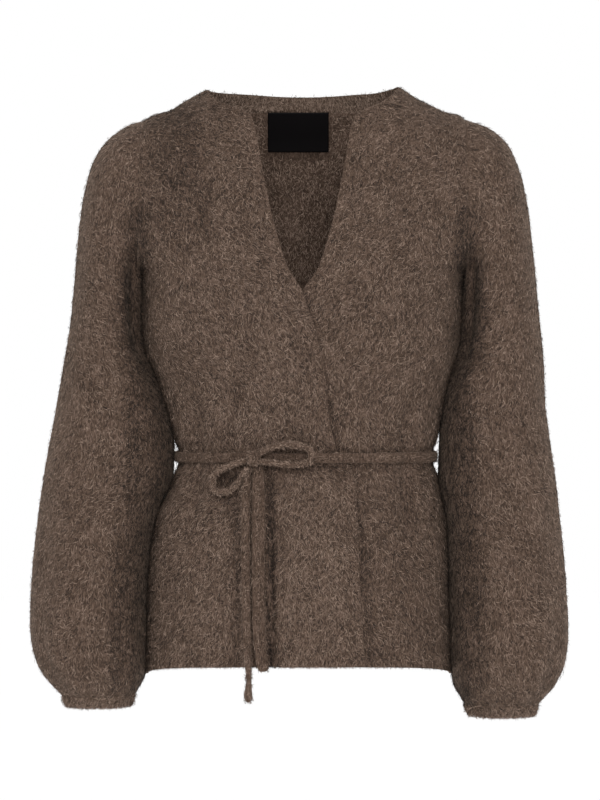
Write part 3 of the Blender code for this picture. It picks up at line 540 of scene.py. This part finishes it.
def cuff_grid(side, out):
    """A face of a ribbed cuff, moved out by the ribs' own height and by out."""
    columns = RIB_COLUMNS * CUFF_RIBS
    angle = (math.tau * np.arange(columns) / columns)[None, :]
    rib = RIB_HEIGHT * np.cos(CUFF_RIBS * angle)
    places = np.linspace(0.0, 1.0, RIB_ROWS)[:, None]
    rolled = -CUFF_ROLL * np.maximum(2.0 * places - 1.6, 0.0)
    return arm_point(ring_at(cuff_columns, places), angle, side, out + rib + rolled)


def grid_normals(grid, closed):
    """Unit normals of a grid, from the differences to its neighbours."""
    if closed:
        along = np.roll(grid, -1, axis=1) - np.roll(grid, 1, axis=1)
    else:
        along = np.gradient(grid, axis=1)
    return unit(np.cross(along, np.gradient(grid, axis=0)))


def keep_to_face(grid, face):
    """Laps a panel a little over the plane of the side and shoulder seams, and no further."""
    kept = grid.copy()
    kept[..., 1] = np.where(kept[..., 1] * face < SEAM_LAP, -face * SEAM_LAP, kept[..., 1])
    return kept


def add_object(name, data):
    obj = bpy.data.objects.new(name, data)
    bpy.context.scene.collection.objects.link(obj)
    return obj


def mesh_piece(name, points, quads, material):
    """A smooth piece from points in millimetres and four-cornered faces."""
    mesh = bpy.data.meshes.new(name)
    mesh.from_pydata((np.asarray(points) * MM).tolist(), [], quads)
    mesh.validate()
    mesh.shade_smooth()
    mesh.materials.append(material)
    return add_object(name, mesh)


def cloth_piece(name, outside, inside, closed, material):
    """A wall of cloth between two grids of the same size, closed round its edges."""
    rows, columns = outside.shape[:2]
    points = np.concatenate([outside.reshape(-1, 3), inside.reshape(-1, 3)])
    second = rows * columns
    spans = columns if closed else columns - 1

    def at(row, column):
        return row * columns + column % columns

    faces = []
    for row in range(rows - 1):
        for column in range(spans):
            low, low_next = at(row, column), at(row, column + 1)
            high, high_next = at(row + 1, column), at(row + 1, column + 1)
            faces.append((low, low_next, high_next, high))
            faces.append((second + low, second + high, second + high_next, second + low_next))
    rims = []
    for column in range(spans):
        rims.append((at(0, column + 1), at(0, column)))
        rims.append((at(rows - 1, column), at(rows - 1, column + 1)))
    if not closed:
        for row in range(rows - 1):
            rims.append((at(row, 0), at(row + 1, 0)))
            rims.append((at(row + 1, columns - 1), at(row, columns - 1)))
    faces += [(start, end, second + end, second + start) for start, end in rims]
    return mesh_piece(name, points, faces, material)


# The nap

LIE_SPREAD = math.radians(32.0)      # how far hairs turn from the way the nap was brushed
SWEEP = math.radians(32.0)           # how far the nap lies towards the middle, at the chest
NAP_SINK = 0.3                       # roots start under the knit's face
SHADE_SPREAD = 0.34                  # from hair to hair
SHADE_SWELL = 0.035                  # light and dark patches of hair
# painted shade in creases: hairs are darkened by a trough's depth
TROUGH_PAINTED_SHADE = 0.055                 # how much darker for each millimetre of a trough's depth
TROUGH_REACH = 14.0                  # how far beside a place its height is compared
SWIRL = 0.3                          # how far patches of hair turn together, in radians
SWIRL_SIZE = 60.0                    # and how large they are, in millimetres
SWELL_SIZE = 34.0
RIPPLE_WAVES = 9


def ripple(points, wavelength, seed):
    """Soft patches over the surface, about -1 to 1, the wavelength in millimetres across."""
    random = np.random.default_rng(seed)
    value = np.zeros(len(points))
    for _ in range(RIPPLE_WAVES):
        heading = random.normal(size=3)
        heading *= math.tau / (wavelength * random.uniform(0.7, 1.5) * np.linalg.norm(heading))
        value += np.sin(points @ heading + random.uniform(0.0, math.tau))
    return value / 2.6


def sample_grid(grid, normals, closed, count, random):
    """Places spread evenly over a grid, and at each the normal, the way along the rows' order,
    and the trough's depth with the room up to the edge.
    """
    rows, columns = grid.shape[:2]
    spans = columns if closed else columns - 1
    right = np.roll(grid, -1, axis=1)
    edge_a = (right - grid)[:-1, :spans]
    edge_b = (grid[1:] - grid[:-1])[:, :spans]
    areas = np.linalg.norm(np.cross(edge_a, edge_b), axis=2).ravel()
    cells = random.choice(len(areas), size=count, p=areas / areas.sum())
    row = cells // spans
    column = cells % spans
    after = (column + 1) % columns
    s = random.random((count, 1))
    t = random.random((count, 1))

    def mix(field):
        return ((field[row, column] * (1.0 - s) + field[row, after] * s) * (1.0 - t)
                + (field[row + 1, column] * (1.0 - s) + field[row + 1, after] * s) * t)

    ups = np.gradient(grid, axis=0)
    fields = np.stack([trough_depth(grid, normals, closed), edge_room(grid, closed)], axis=-1)
    return mix(grid), mix(normals), mix(ups), mix(fields)


def edge_room(grid, closed):
    """How far each place is from the first row and, on a panel, from the first column."""
    down = np.linalg.norm(np.diff(grid, axis=0), axis=2)
    from_row = np.concatenate([np.zeros((1, grid.shape[1])), np.cumsum(down, axis=0)])
    if closed:
        return from_row[-1] - from_row + HEM_HAIR
    along = np.linalg.norm(np.diff(grid, axis=1), axis=2)
    from_column = np.concatenate([np.zeros((len(grid), 1)), np.cumsum(along, axis=1)], axis=1)
    return np.minimum(from_row + HEM_HAIR, from_column)


def trough_depth(grid, normals, closed):
    """How far each place lies under the mean of the places on both sides of it."""
    step = np.median(np.linalg.norm(np.diff(grid, axis=1), axis=2))
    reach = int(np.clip(round(TROUGH_REACH / step), 1, grid.shape[1] // 4))
    if closed:
        beside = (np.roll(grid, reach, axis=1) + np.roll(grid, -reach, axis=1)) / 2.0
        return np.sum((beside - grid) * normals, axis=2)
    depth = np.zeros(grid.shape[:2])
    middle = grid[:, reach:-reach]
    beside = (grid[:, 2 * reach:] + grid[:, :-2 * reach]) / 2.0
    depth[:, reach:-reach] = np.sum((beside - middle) * normals[:, reach:-reach], axis=2)
    return depth


def painted_shade_at(points, name):
    """How much darker the nap of a front is at each point, as painted shade; negative values are painted
    light.
    """
    painted_shade = np.zeros(len(points))
    for line in PAINTED_SHADE_AND_LIGHT.get(name, []):
        start = np.array([line.x_top, line.z_top])
        way = np.array([line.x_low, line.z_low]) - start
        here = points[:, [0, 2]] - start
        share = np.clip(here @ way / (way @ way), 0.0, 1.0)
        away = np.linalg.norm(here - share[:, None] * way, axis=1) / line.reach
        line_shade = line.darker * np.exp(-away * away)
        painted_shade = np.where(np.abs(line_shade) > np.abs(painted_shade), line_shade, painted_shade)
    return painted_shade


def arm_gap_shade_at(points, normals, name):
    """Painted shade where the sleeves and the body meet: how much darker the nap is on the sleeves' inner
    sides, the body's flanks and by the armpits.
    """
    x, z = points[:, 0], points[:, 2]
    aside = normals[:, 0] * np.sign(x)
    low = ARM_GAP_SHADE * ramp(z, -130.0, -220.0)
    beside = (np.abs(x) - ARMHOLE_X - 1.0) / ARMPIT_REACH
    armpit_shade = ARMPIT_PAINTED_SHADE * ramp(z, -100.0, -150.0) * np.exp(-beside * beside)
    if name.startswith("sleeve"):
        full = 1.0 - FOREARM_EASE * ramp(z, -520.0, -610.0)
        return np.maximum(low * full * ramp(-aside, 0.2, 0.95), armpit_shade)
    if name.startswith(("front", "back_nap")):
        return np.maximum(FLANK_SHARE * low * ramp(aside, 0.8, 1.0), ramp(z, -245.0, -215.0) * armpit_shade)
    return np.zeros(len(points))


def grow_nap(name, grid, normals, closed, nap, seed):
    """Hairs as slender bent lozenges over a grid whose normals point out of the cloth.

    They lie down the garment: a panel's rows run upwards, a sleeve's or a strap's downwards.
    """
    random = np.random.default_rng(seed)
    drawn = int(SPARE * nap.hairs)
    root, normal, up, fields = sample_grid(grid, normals, closed, drawn, random)
    normal = unit(normal)
    painted_shade = painted_shade_at(root, name.replace("_nap", "")) + arm_gap_shade_at(root, normal, name)
    kept = (random.random(drawn) < 1.0 / SPARE) | (painted_shade > CROWDED)
    root, normal, up, painted_shade = root[kept], normal[kept], up[kept], painted_shade[kept]
    depth, room = fields[kept].T
    if name.startswith("sleeve"):
        room = room + nap.longest
    count = len(root)
    along = up if closed else -up
    down = unit(along - normal * np.sum(along * normal, axis=1, keepdims=True))
    side = np.cross(normal, down)
    x, y, z = root.T
    chest = 1.6 * ramp(z, -400.0, -280.0) - 0.6
    turn = (random.normal(0.0, LIE_SPREAD, count) - SWEEP * chest * np.tanh(x / 60.0)
            + SWIRL * ripple(root, SWIRL_SIZE, seed + 1)
            + np.where(random.random(count) < CROSSED_SHARE,
                       random.uniform(-math.pi, math.pi, count), 0.0))
    curl = random.normal(0.0, CURL, count)
    length = (nap.shortest + (nap.longest - nap.shortest) * random.random(count) ** 1.3)[:, None]
    length = np.minimum(length, EDGE_HAIR + room[:, None])
    stray = np.where(random.random(count) < STRAY_SHARE, STRAY_LIFT, 1.0)
    lift = (nap.lift * stray * random.uniform(0.3, 1.2, count))[:, None]
    first = down * np.cos(turn)[:, None] + side * np.sin(turn)[:, None]
    second = down * np.cos(turn + curl)[:, None] + side * np.sin(turn + curl)[:, None]
    start = root - normal * NAP_SINK
    middle = root + first * length * 0.5 + normal * lift * 0.8
    tip = middle + second * length * 0.5 + normal * lift * 0.3
    roll = random.normal(0.0, 0.5, count)[:, None]
    across = unit(np.cross(normal, first)) * np.cos(roll) + normal * np.sin(roll)
    half = (nap.width * random.uniform(0.5, 1.4, count) / 2.0)[:, None]
    corners = np.stack([start, middle + across * half, tip, middle - across * half], axis=1)
    # painted shade and painted light from troughs, the bow, the belt and where the sleeves meet the body
    # are taken off each hair's shade
    shade = np.clip(0.5 + nap.lighter + random.normal(0.0, SHADE_SPREAD, count)
                    + SHADE_SWELL * ripple(root, SWELL_SIZE, seed + 2)
                    - TROUGH_PAINTED_SHADE * np.clip(depth, -1.0, 8.0) - painted_shade, 0.02, 0.97)
    bare = (x > BARE[0]) & (x < BARE[1]) & (z > BARE[2]) & (z < BARE[3])
    shown = ~(bare & (normal[:, 1] < 0.0) & (y > 0.0))
    obj = strand_piece(name, corners[shown], shade[shown])
    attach(obj, "root")
    return obj


def strand_piece(name, corners, shade):
    """One mesh for all hairs, each a lozenge of two triangles with its own shade along U."""
    count = len(corners)
    base = 4 * np.arange(count)[:, None]
    loops = (base + np.array([0, 1, 3, 3, 1, 2])).ravel()
    mesh = bpy.data.meshes.new(name)
    mesh.vertices.add(4 * count)
    mesh.vertices.foreach_set("co", (corners.reshape(-1) * MM).astype(np.float32))
    mesh.loops.add(6 * count)
    mesh.loops.foreach_set("vertex_index", loops.astype(np.int32))
    mesh.polygons.add(2 * count)
    starts = (6 * np.arange(count)[:, None] + np.array([0, 3])).ravel()
    mesh.polygons.foreach_set("loop_start", starts.astype(np.int32))
    cell = np.array([[0, 0.1], [1, 0.5], [-1, 0.5], [-1, 0.5], [1, 0.5], [0, 0.9]])
    uv = np.empty((count, 6, 2))
    uv[..., 0] = shade[:, None] + 0.012 * cell[:, 0]
    uv[..., 1] = cell[:, 1]
    layer = mesh.uv_layers.new(name="OFBake")
    layer.data.foreach_set("uv", uv.reshape(-1).astype(np.float32))
    mesh.update(calc_edges=True)
    mesh.materials.append(MOHAIR_FIBRE)
    return add_object(name, mesh)


# Finishes

def linear(code):
    """A linear colour from an sRGB hex value."""
    parts = [int(code[place:place + 2], 16) / 255.0 for place in (1, 3, 5)]
    return tuple(part / 12.92 if part <= 0.04045 else ((part + 0.055) / 1.055) ** 2.4
                 for part in parts) + (1.0,)


def add_node(tree, kind, inputs, **settings):
    """A node with its settings, its inputs' values and the links into it."""
    node = tree.nodes.new(kind)
    for name, value in settings.items():
        setattr(node, name, value)
    for name, value in inputs.items():
        if isinstance(value, bpy.types.NodeSocket):
            tree.links.new(value, node.inputs[name])
        else:
            node.inputs[name].default_value = value
    return node


def new_finish(name):
    material = bpy.data.materials.new(name)
    material.use_nodes = True
    material.node_tree.nodes.clear()
    return material, material.node_tree


def set_stops(colours, stops):
    """Stops of a colour ramp, as (place, sRGB hex)."""
    for place, _ in stops[2:]:
        colours.elements.new(place)
    for element, (place, code) in zip(sorted(colours.elements, key=lambda item: item.position), stops):
        element.position = place
        element.color = linear(code)


def coat(tree, kind, inputs):
    """A finish's only shader, joined to the output."""
    shader = add_node(tree, kind, inputs)
    add_node(tree, "ShaderNodeOutputMaterial", {"Surface": shader.outputs["BSDF"]})


def knit_finish(name, stops):
    """Brushed mohair jersey: a loose knit under matted fibres, so it is soft, blotched and matte.

    Blotches are some 22 mm across. Matted fibres are 1.2 mm wide and 4 mm long, coarser than
    real ones, which are too fine to show.
    """
    material, tree = new_finish(name)
    place = add_node(tree, "ShaderNodeTexCoord", {})
    blotch = add_node(tree, "ShaderNodeTexNoise",
                      {"Vector": place.outputs["Object"], "Scale": 45.0, "Detail": 3.0})
    stretch = add_node(tree, "ShaderNodeMapping",
                       {"Vector": place.outputs["Object"], "Scale": (830.0, 830.0, 250.0)})
    fibres = add_node(tree, "ShaderNodeTexNoise",
                      {"Vector": stretch.outputs["Vector"], "Scale": 1.0, "Detail": 4.0,
                       "Distortion": 0.6})
    both = add_node(tree, "ShaderNodeMath",
                    {0: blotch.outputs["Fac"], 1: 0.3, 2: fibres.outputs["Fac"]},
                    operation="MULTIPLY_ADD")
    scaled = add_node(tree, "ShaderNodeMath", {0: both.outputs["Value"], 1: 0.77},
                      operation="MULTIPLY")
    colour = add_node(tree, "ShaderNodeValToRGB", {"Fac": scaled.outputs["Value"]})
    set_stops(colour.color_ramp, stops)
    bump = add_node(tree, "ShaderNodeBump",
                    {"Height": fibres.outputs["Fac"], "Strength": 0.5, "Distance": 0.0012})
    coat(tree, "ShaderNodeBsdfPrincipled",
         {"Base Color": colour.outputs["Color"], "Normal": bump.outputs["Normal"],
          "Roughness": 0.95, "Specular IOR Level": 0.2, "Sheen Weight": 0.25,
          "Sheen Roughness": 0.5, "Sheen Tint": linear("#B9A491")})
    return material


def nap_finish():
    """Mohair fibres, fine and brushed up from the knit; each hair's shade is read along U."""
    material, tree = new_finish("mohair fibre")
    cell = add_node(tree, "ShaderNodeUVMap", {}, uv_map="OFBake")
    split = add_node(tree, "ShaderNodeSeparateXYZ", {"Vector": cell.outputs["UV"]})
    colour = add_node(tree, "ShaderNodeValToRGB", {"Fac": split.outputs["X"]})
    set_stops(colour.color_ramp, NAP_SHADES)
    coat(tree, "ShaderNodeBsdfPrincipled",
         {"Base Color": colour.outputs["Color"], "Roughness": 0.8,
          "Specular IOR Level": 0.25, "Sheen Weight": 0.2,
          "Sheen Roughness": 0.5, "Sheen Tint": linear("#B9A491")})
    return material


def satin_finish():
    """Woven satin ribbon for the label: smooth, black and faintly glossy, threads 0.3 mm apart."""
    material, tree = new_finish("woven satin ribbon")
    place = add_node(tree, "ShaderNodeTexCoord", {})
    threads = add_node(tree, "ShaderNodeTexWave",
                       {"Vector": place.outputs["Object"], "Scale": 520.0, "Distortion": 0.4},
                       bands_direction="Z")
    bump = add_node(tree, "ShaderNodeBump",
                    {"Height": threads.outputs["Fac"], "Strength": 0.12, "Distance": 0.0002})
    coat(tree, "ShaderNodeBsdfPrincipled",
         {"Base Color": linear("#0D0B0C"), "Normal": bump.outputs["Normal"],
          "Roughness": 0.5, "Specular IOR Level": 0.05})
    return material


NAP_SHADES = [(0.0, "#0A0503"), (0.25, "#2F221B"), (0.5, "#5B493C"), (0.75, "#766256"),
              (1.0, "#8F7B6D")]
MOHAIR = knit_finish("brushed mohair jersey", [(0.35, "#2A1F18"), (0.5, "#48392F"), (0.65, "#66544A")])
MOHAIR_RIB = knit_finish("ribbed mohair knit", [(0.35, "#33271F"), (0.5, "#524237"), (0.65, "#6E5B4F")])
MOHAIR_FIBRE = nap_finish()
SATIN = satin_finish()
KNITS = {"mohair_knit": MOHAIR, "ribbed_knit": MOHAIR_RIB}


# The pieces

def dress(obj, node):
    """Makes a piece stand for a solid of the part."""
    obj.name = node + "_knit" if node != "label" else "label_ribbon"
    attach(obj, "root")
    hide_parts(node)
    return obj


Cut = namedtuple("Cut", "width length area held")


def knitted(name, cut_name, outside, inside, out, closed, seed, slot_name="mohair_knit"):
    """A cut piece of knit with its nap."""
    obj = dress(cloth_piece(name, outside, inside, closed, KNITS[slot_name]), name)
    hair = grow_nap(name + "_nap", outside, out, closed, NAP[cut_name], seed)


def panel(name, grid, away, face, seed):
    """A knitted panel with its nap; away turns the grid's normals outwards."""
    out = away * grid_normals(grid, False)
    outside = keep_to_face(grid - NAP_DEPTH * out, face)
    inside = keep_to_face(grid - WALL * out, face)
    knitted(name, name, outside, inside, out, False, seed)
    return inside, -out


def make_body():
    outer = front_grid(RIGHT)
    under = front_grid(LEFT)
    back = back_grid()
    panel("front_outer", outer, -1.0, FRONT, 11)
    panel("front_under", under, 1.0, FRONT, 12)
    inside, inward = panel("back", back, -1.0, BACK, 13)
    shown = slice(-INNER_ROWS * ROW_STEPS, None)
    grow_nap("back_inner_nap", inside[shown], inward[shown], False, NAP["inside"], 14)
    return outer, under, back


def make_band():
    outside = keep_to_face(band_grid(-NAP_DEPTH), BACK)
    inside = keep_to_face(band_grid(-WALL + RIB_HEIGHT), BACK)
    obj = dress(cloth_piece("neck_band", outside, inside, False, MOHAIR_RIB), "neck_band")
    inward = grid_normals(inside, False)
    hair = grow_nap("neck_band_nap", inside, inward, False, NAP["neck_band"], 21)
    outward = -grid_normals(outside, False)
    behind = grow_nap("neck_band_back_nap", outside, outward, False, NAP["band_back"], 22)


def make_arm(word, side, seed):
    grid = sleeve_grid(side)
    out = side * grid_normals(grid, True)
    outside = grid - NAP_DEPTH * out
    inside = grid - WALL * out
    limit = side * (ARMHOLE_X + SEAM) + SHOULDER_SWAY
    near = inside[..., 2] > ARMPIT_Z - ARMHOLE_SPARE
    held = side * np.maximum(side * inside[..., 0], side * limit)
    inside[..., 0] = np.where(near, held, inside[..., 0])
    knitted("sleeve_" + word, "sleeve", outside, inside, out, True, seed)
    outside = cuff_grid(side, -NAP_DEPTH)
    inside = cuff_grid(side, -WALL)
    out = side * grid_normals(outside, True)
    knitted("cuff_" + word, "cuff", outside, inside, out, True, seed + 1, "ribbed_knit")


def strap_grid(points, wides, thicks, outs, closed):
    """Rings along a strap's path, wide across it and thick along its outs, edges rounded."""
    points = np.array(points)
    if closed:
        heading = np.roll(points, -1, axis=0) - np.roll(points, 1, axis=0)
    else:
        heading = np.gradient(points, axis=0)
    heading = unit(heading)
    outs = np.array(outs)
    out = unit(outs - heading * np.sum(outs * heading, axis=1, keepdims=True))
    across = np.cross(heading, out)
    turn = math.tau * (np.arange(STRAP_SIDES) + 0.5) / STRAP_SIDES
    wide = (np.array(wides) / 2.0)[:, None, None]
    thick = (np.array(thicks) / 2.0)[:, None, None]
    return (points[:, None, :]
            + across[:, None, :] * wide * power(np.cos(turn), STRAP_ROUND)[None, :, None]
            + out[:, None, :] * thick * power(np.sin(turn), STRAP_ROUND)[None, :, None])


def strap_piece(name, rings, closed):
    """A strap's skin, with its ends closed if it has any."""
    count, sides = rings.shape[:2]
    faces = []
    for index in range(count if closed else count - 1):
        here = index * sides
        there = (index + 1) % count * sides
        for side in range(sides):
            after = (side + 1) % sides
            faces.append((here + side, there + side, there + after, here + after))
    if not closed:
        last = (count - 1) * sides
        faces.append(tuple(range(sides)))
        faces.append(tuple(last + side for side in reversed(range(sides))))
    return dress(mesh_piece(name, rings.reshape(-1, 3), faces, MOHAIR), name)


def strap_nap(name, rings, middle, nap, seed):
    """Nap all over rings, whose normals point away from their middle."""
    return grow_nap(name + "_nap", rings, unit(rings - middle), True, nap, seed)


def make_belt(outer, under, back):
    """The belt round the waist, from the panels' own rows at its height."""
    row = LOW_ROWS.index(BELT_Z) * ROW_STEPS
    past_edge = under[row][:, 0] > outer[row][0][0] + BELT_STEP
    parts = [(outer, -1.0, slice(None, None, -1)), (under, 1.0, past_edge), (back, -1.0, slice(-2, 0, -1))]
    outs = np.concatenate([away * grid_normals(grid, False)[row][part] for grid, away, part in parts])
    outs = unit(outs * (1.0, 1.0, 0.0))
    points = np.concatenate([grid[row][part] for grid, _, part in parts])
    points += outs * (BELT_CLEAR + BELT_THICK / 2.0)
    rings = strap_grid(points, [BELT_WIDTH] * len(points), [BELT_THICK] * len(points), outs, True)
    strap_piece("belt_waist", rings, True)
    rings = np.concatenate([rings, rings[:1]])
    strap_nap("belt_waist", rings, rings.mean(axis=1, keepdims=True), NAP["belt"], 41)


def front_surface():
    """The outer front's solid, as y at a place x and z, in millimetres."""
    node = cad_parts["front_outer"]
    corners = [node.matrix_world @ vertex.co for vertex in node.data.vertices]
    tree = BVHTree.FromPolygons(corners, [face.vertices for face in node.data.polygons])
    lowest = (HEM_Z + FRONT_HEM_RISE + 2.0) * MM

    def at(x, z):
        start = Vector((x * MM, -1.0, max(z * MM, lowest)))
        return tree.ray_cast(start, Vector((0.0, 1.0, 0.0)))[0].y / MM

    return at


def in_front(surface, x, z, off, half):
    """A place off millimetres before all of the front that lies behind a strap."""
    nearest = min(surface(x - half, z), surface(x, z), surface(x + half, z))
    return np.array([x, nearest - off, z])


def strap_on_front(name, surface, ways, flat, nap, seed):
    """A strap in front of the outer front: flat on it, or on its edge as the loops are."""
    wides = [way.wide if flat else way.thick for way in ways]
    thicks = [way.thick if flat else way.wide for way in ways]
    knots = np.array([in_front(surface, way.x, way.z, way.off, wide / 2.0)
                      for way, wide in zip(ways, wides)])
    points = np.stack([finer(knots[:, axis], WAY_STEPS) for axis in range(3)], axis=1)
    outs = np.tile([0.0, -1.0, 0.0], (len(points), 1))
    rings = strap_grid(points, finer(wides, WAY_STEPS), finer(thicks, WAY_STEPS), outs, False)
    obj = strap_piece(name, rings, False)
    hair = strap_nap(name, rings, rings.mean(axis=1, keepdims=True), nap, seed)
    return obj, hair, points


def make_knot(surface):
    """The bow's knot, a squat rounded lump whose ends are pulled in."""
    middle = in_front(surface, KNOT[0], KNOT[1], KNOT_OFF, KNOT_HALF[0])
    tilt = np.linspace(0.02, math.pi - 0.02, KNOT_GRID[0])[:, None]
    turn = (math.tau * np.arange(KNOT_GRID[1]) / KNOT_GRID[1])[None, :]
    ring = power(np.sin(tilt), KNOT_ROUND)
    rings = middle + np.stack([KNOT_HALF[0] * ring * power(np.cos(turn), KNOT_ROUND),
                               KNOT_HALF[1] * ring * power(np.sin(turn), KNOT_ROUND),
                               KNOT_HALF[2] * power(np.cos(tilt), KNOT_ROUND) + 0.0 * turn], axis=-1)
    strap_piece("belt_knot", rings, False)
    strap_nap("belt_knot", rings, middle, NAP["knot"], 51)


def make_bow():
    surface = front_surface()
    make_knot(surface)
    strap_on_front("belt_loop_right", surface, LOOP_RIGHT, False, NAP["loop"], 52)
    strap_on_front("belt_loop_left", surface, LOOP_LEFT, False, NAP["loop"], 53)
    for name, ways, seed in (("belt_tail_short", TAIL_SHORT, 54), ("belt_tail_long", TAIL_LONG, 55)):
        obj, hair, points = strap_on_front(name, surface, ways, True, NAP["tail"], seed)


def make_label():
    """The woven label on the inside of the back, just under the ribbed band, left bare."""
    across = (np.linspace(-0.5, 0.5, LABEL_GRID[0]) * LABEL_SIZE[0] + LABEL_X)[None, :]
    top_z = band_foot_z(0.0) + LABEL_LAP
    z = (top_z - LABEL_SIZE[1] * np.linspace(0.0, 1.0, LABEL_GRID[1]))[:, None] + 0.0 * across
    angle = angle_at(across, z)
    outside, inside = [torso_point(angle, z, BACK, out) for out in LABEL_FACES]
    dress(cloth_piece("label", outside, inside, False, SATIN), "label")


# The studio

CAMERA = (-0.0011, -3.0, -0.3317)
PICTURE_HEIGHT = 0.856               # what the picture's height holds at the garment, in metres
FLOOR_Z = -1.4                       # the shoulders hang at a wearer's height over it


def make_floor():
    """A plain pale floor, well under the garment."""
    mesh = bpy.data.meshes.new("floor")
    size = 12.0
    mesh.from_pydata([(-size, -size, FLOOR_Z), (size, -size, FLOOR_Z),
                      (size, size, FLOOR_Z), (-size, size, FLOOR_Z)], [], [(0, 1, 2, 3)])
    material, tree = new_finish("matte white paint")
    coat(tree, "ShaderNodeBsdfDiffuse", {"Color": linear("#FFFFFF")})
    mesh.materials.append(material)
    floor = add_object("floor", mesh)


def soft_light(name, place, aim, size, watts):
    lamp = bpy.data.lights.new(name, "AREA")
    lamp.shape = "RECTANGLE"
    lamp.size, lamp.size_y = size
    lamp.energy = watts
    obj = add_object(name, lamp)
    obj.location = place
    obj.rotation_euler = (Vector(aim) - Vector(place)).to_track_quat("-Z", "Y").to_euler()


def make_studio():
    make_floor()
    world = bpy.data.worlds.new("pale studio")
    bpy.context.scene.world = world
    world.use_nodes = True
    world.node_tree.nodes.clear()
    air = add_node(world.node_tree, "ShaderNodeBackground",
                   {"Color": linear("#FFFFFF"), "Strength": 1.0})
    add_node(world.node_tree, "ShaderNodeOutputWorld", {"Surface": air.outputs["Background"]})
    soft_light("key", (0.15, -2.85, 0.7), (0.0, 0.0, -0.35), (1.2, 1.2), 41.0)
    camera = bpy.data.cameras.new("camera")
    camera.sensor_fit = "VERTICAL"
    camera.sensor_height = 24.0
    camera.lens = camera.sensor_height * -CAMERA[1] / PICTURE_HEIGHT
    obj = add_object("camera", camera)
    obj.location = CAMERA
    obj.rotation_euler = (math.pi / 2.0, 0.0, 0.0)
    bpy.context.scene.camera = obj
    bpy.context.scene.view_settings.view_transform = "Standard"


def main():
    outer, under, back = make_body()
    make_band()
    make_arm("right", RIGHT, 31)
    make_arm("left", LEFT, 35)
    make_belt(outer, under, back)
    make_bow()
    make_label()
    make_studio()


main()
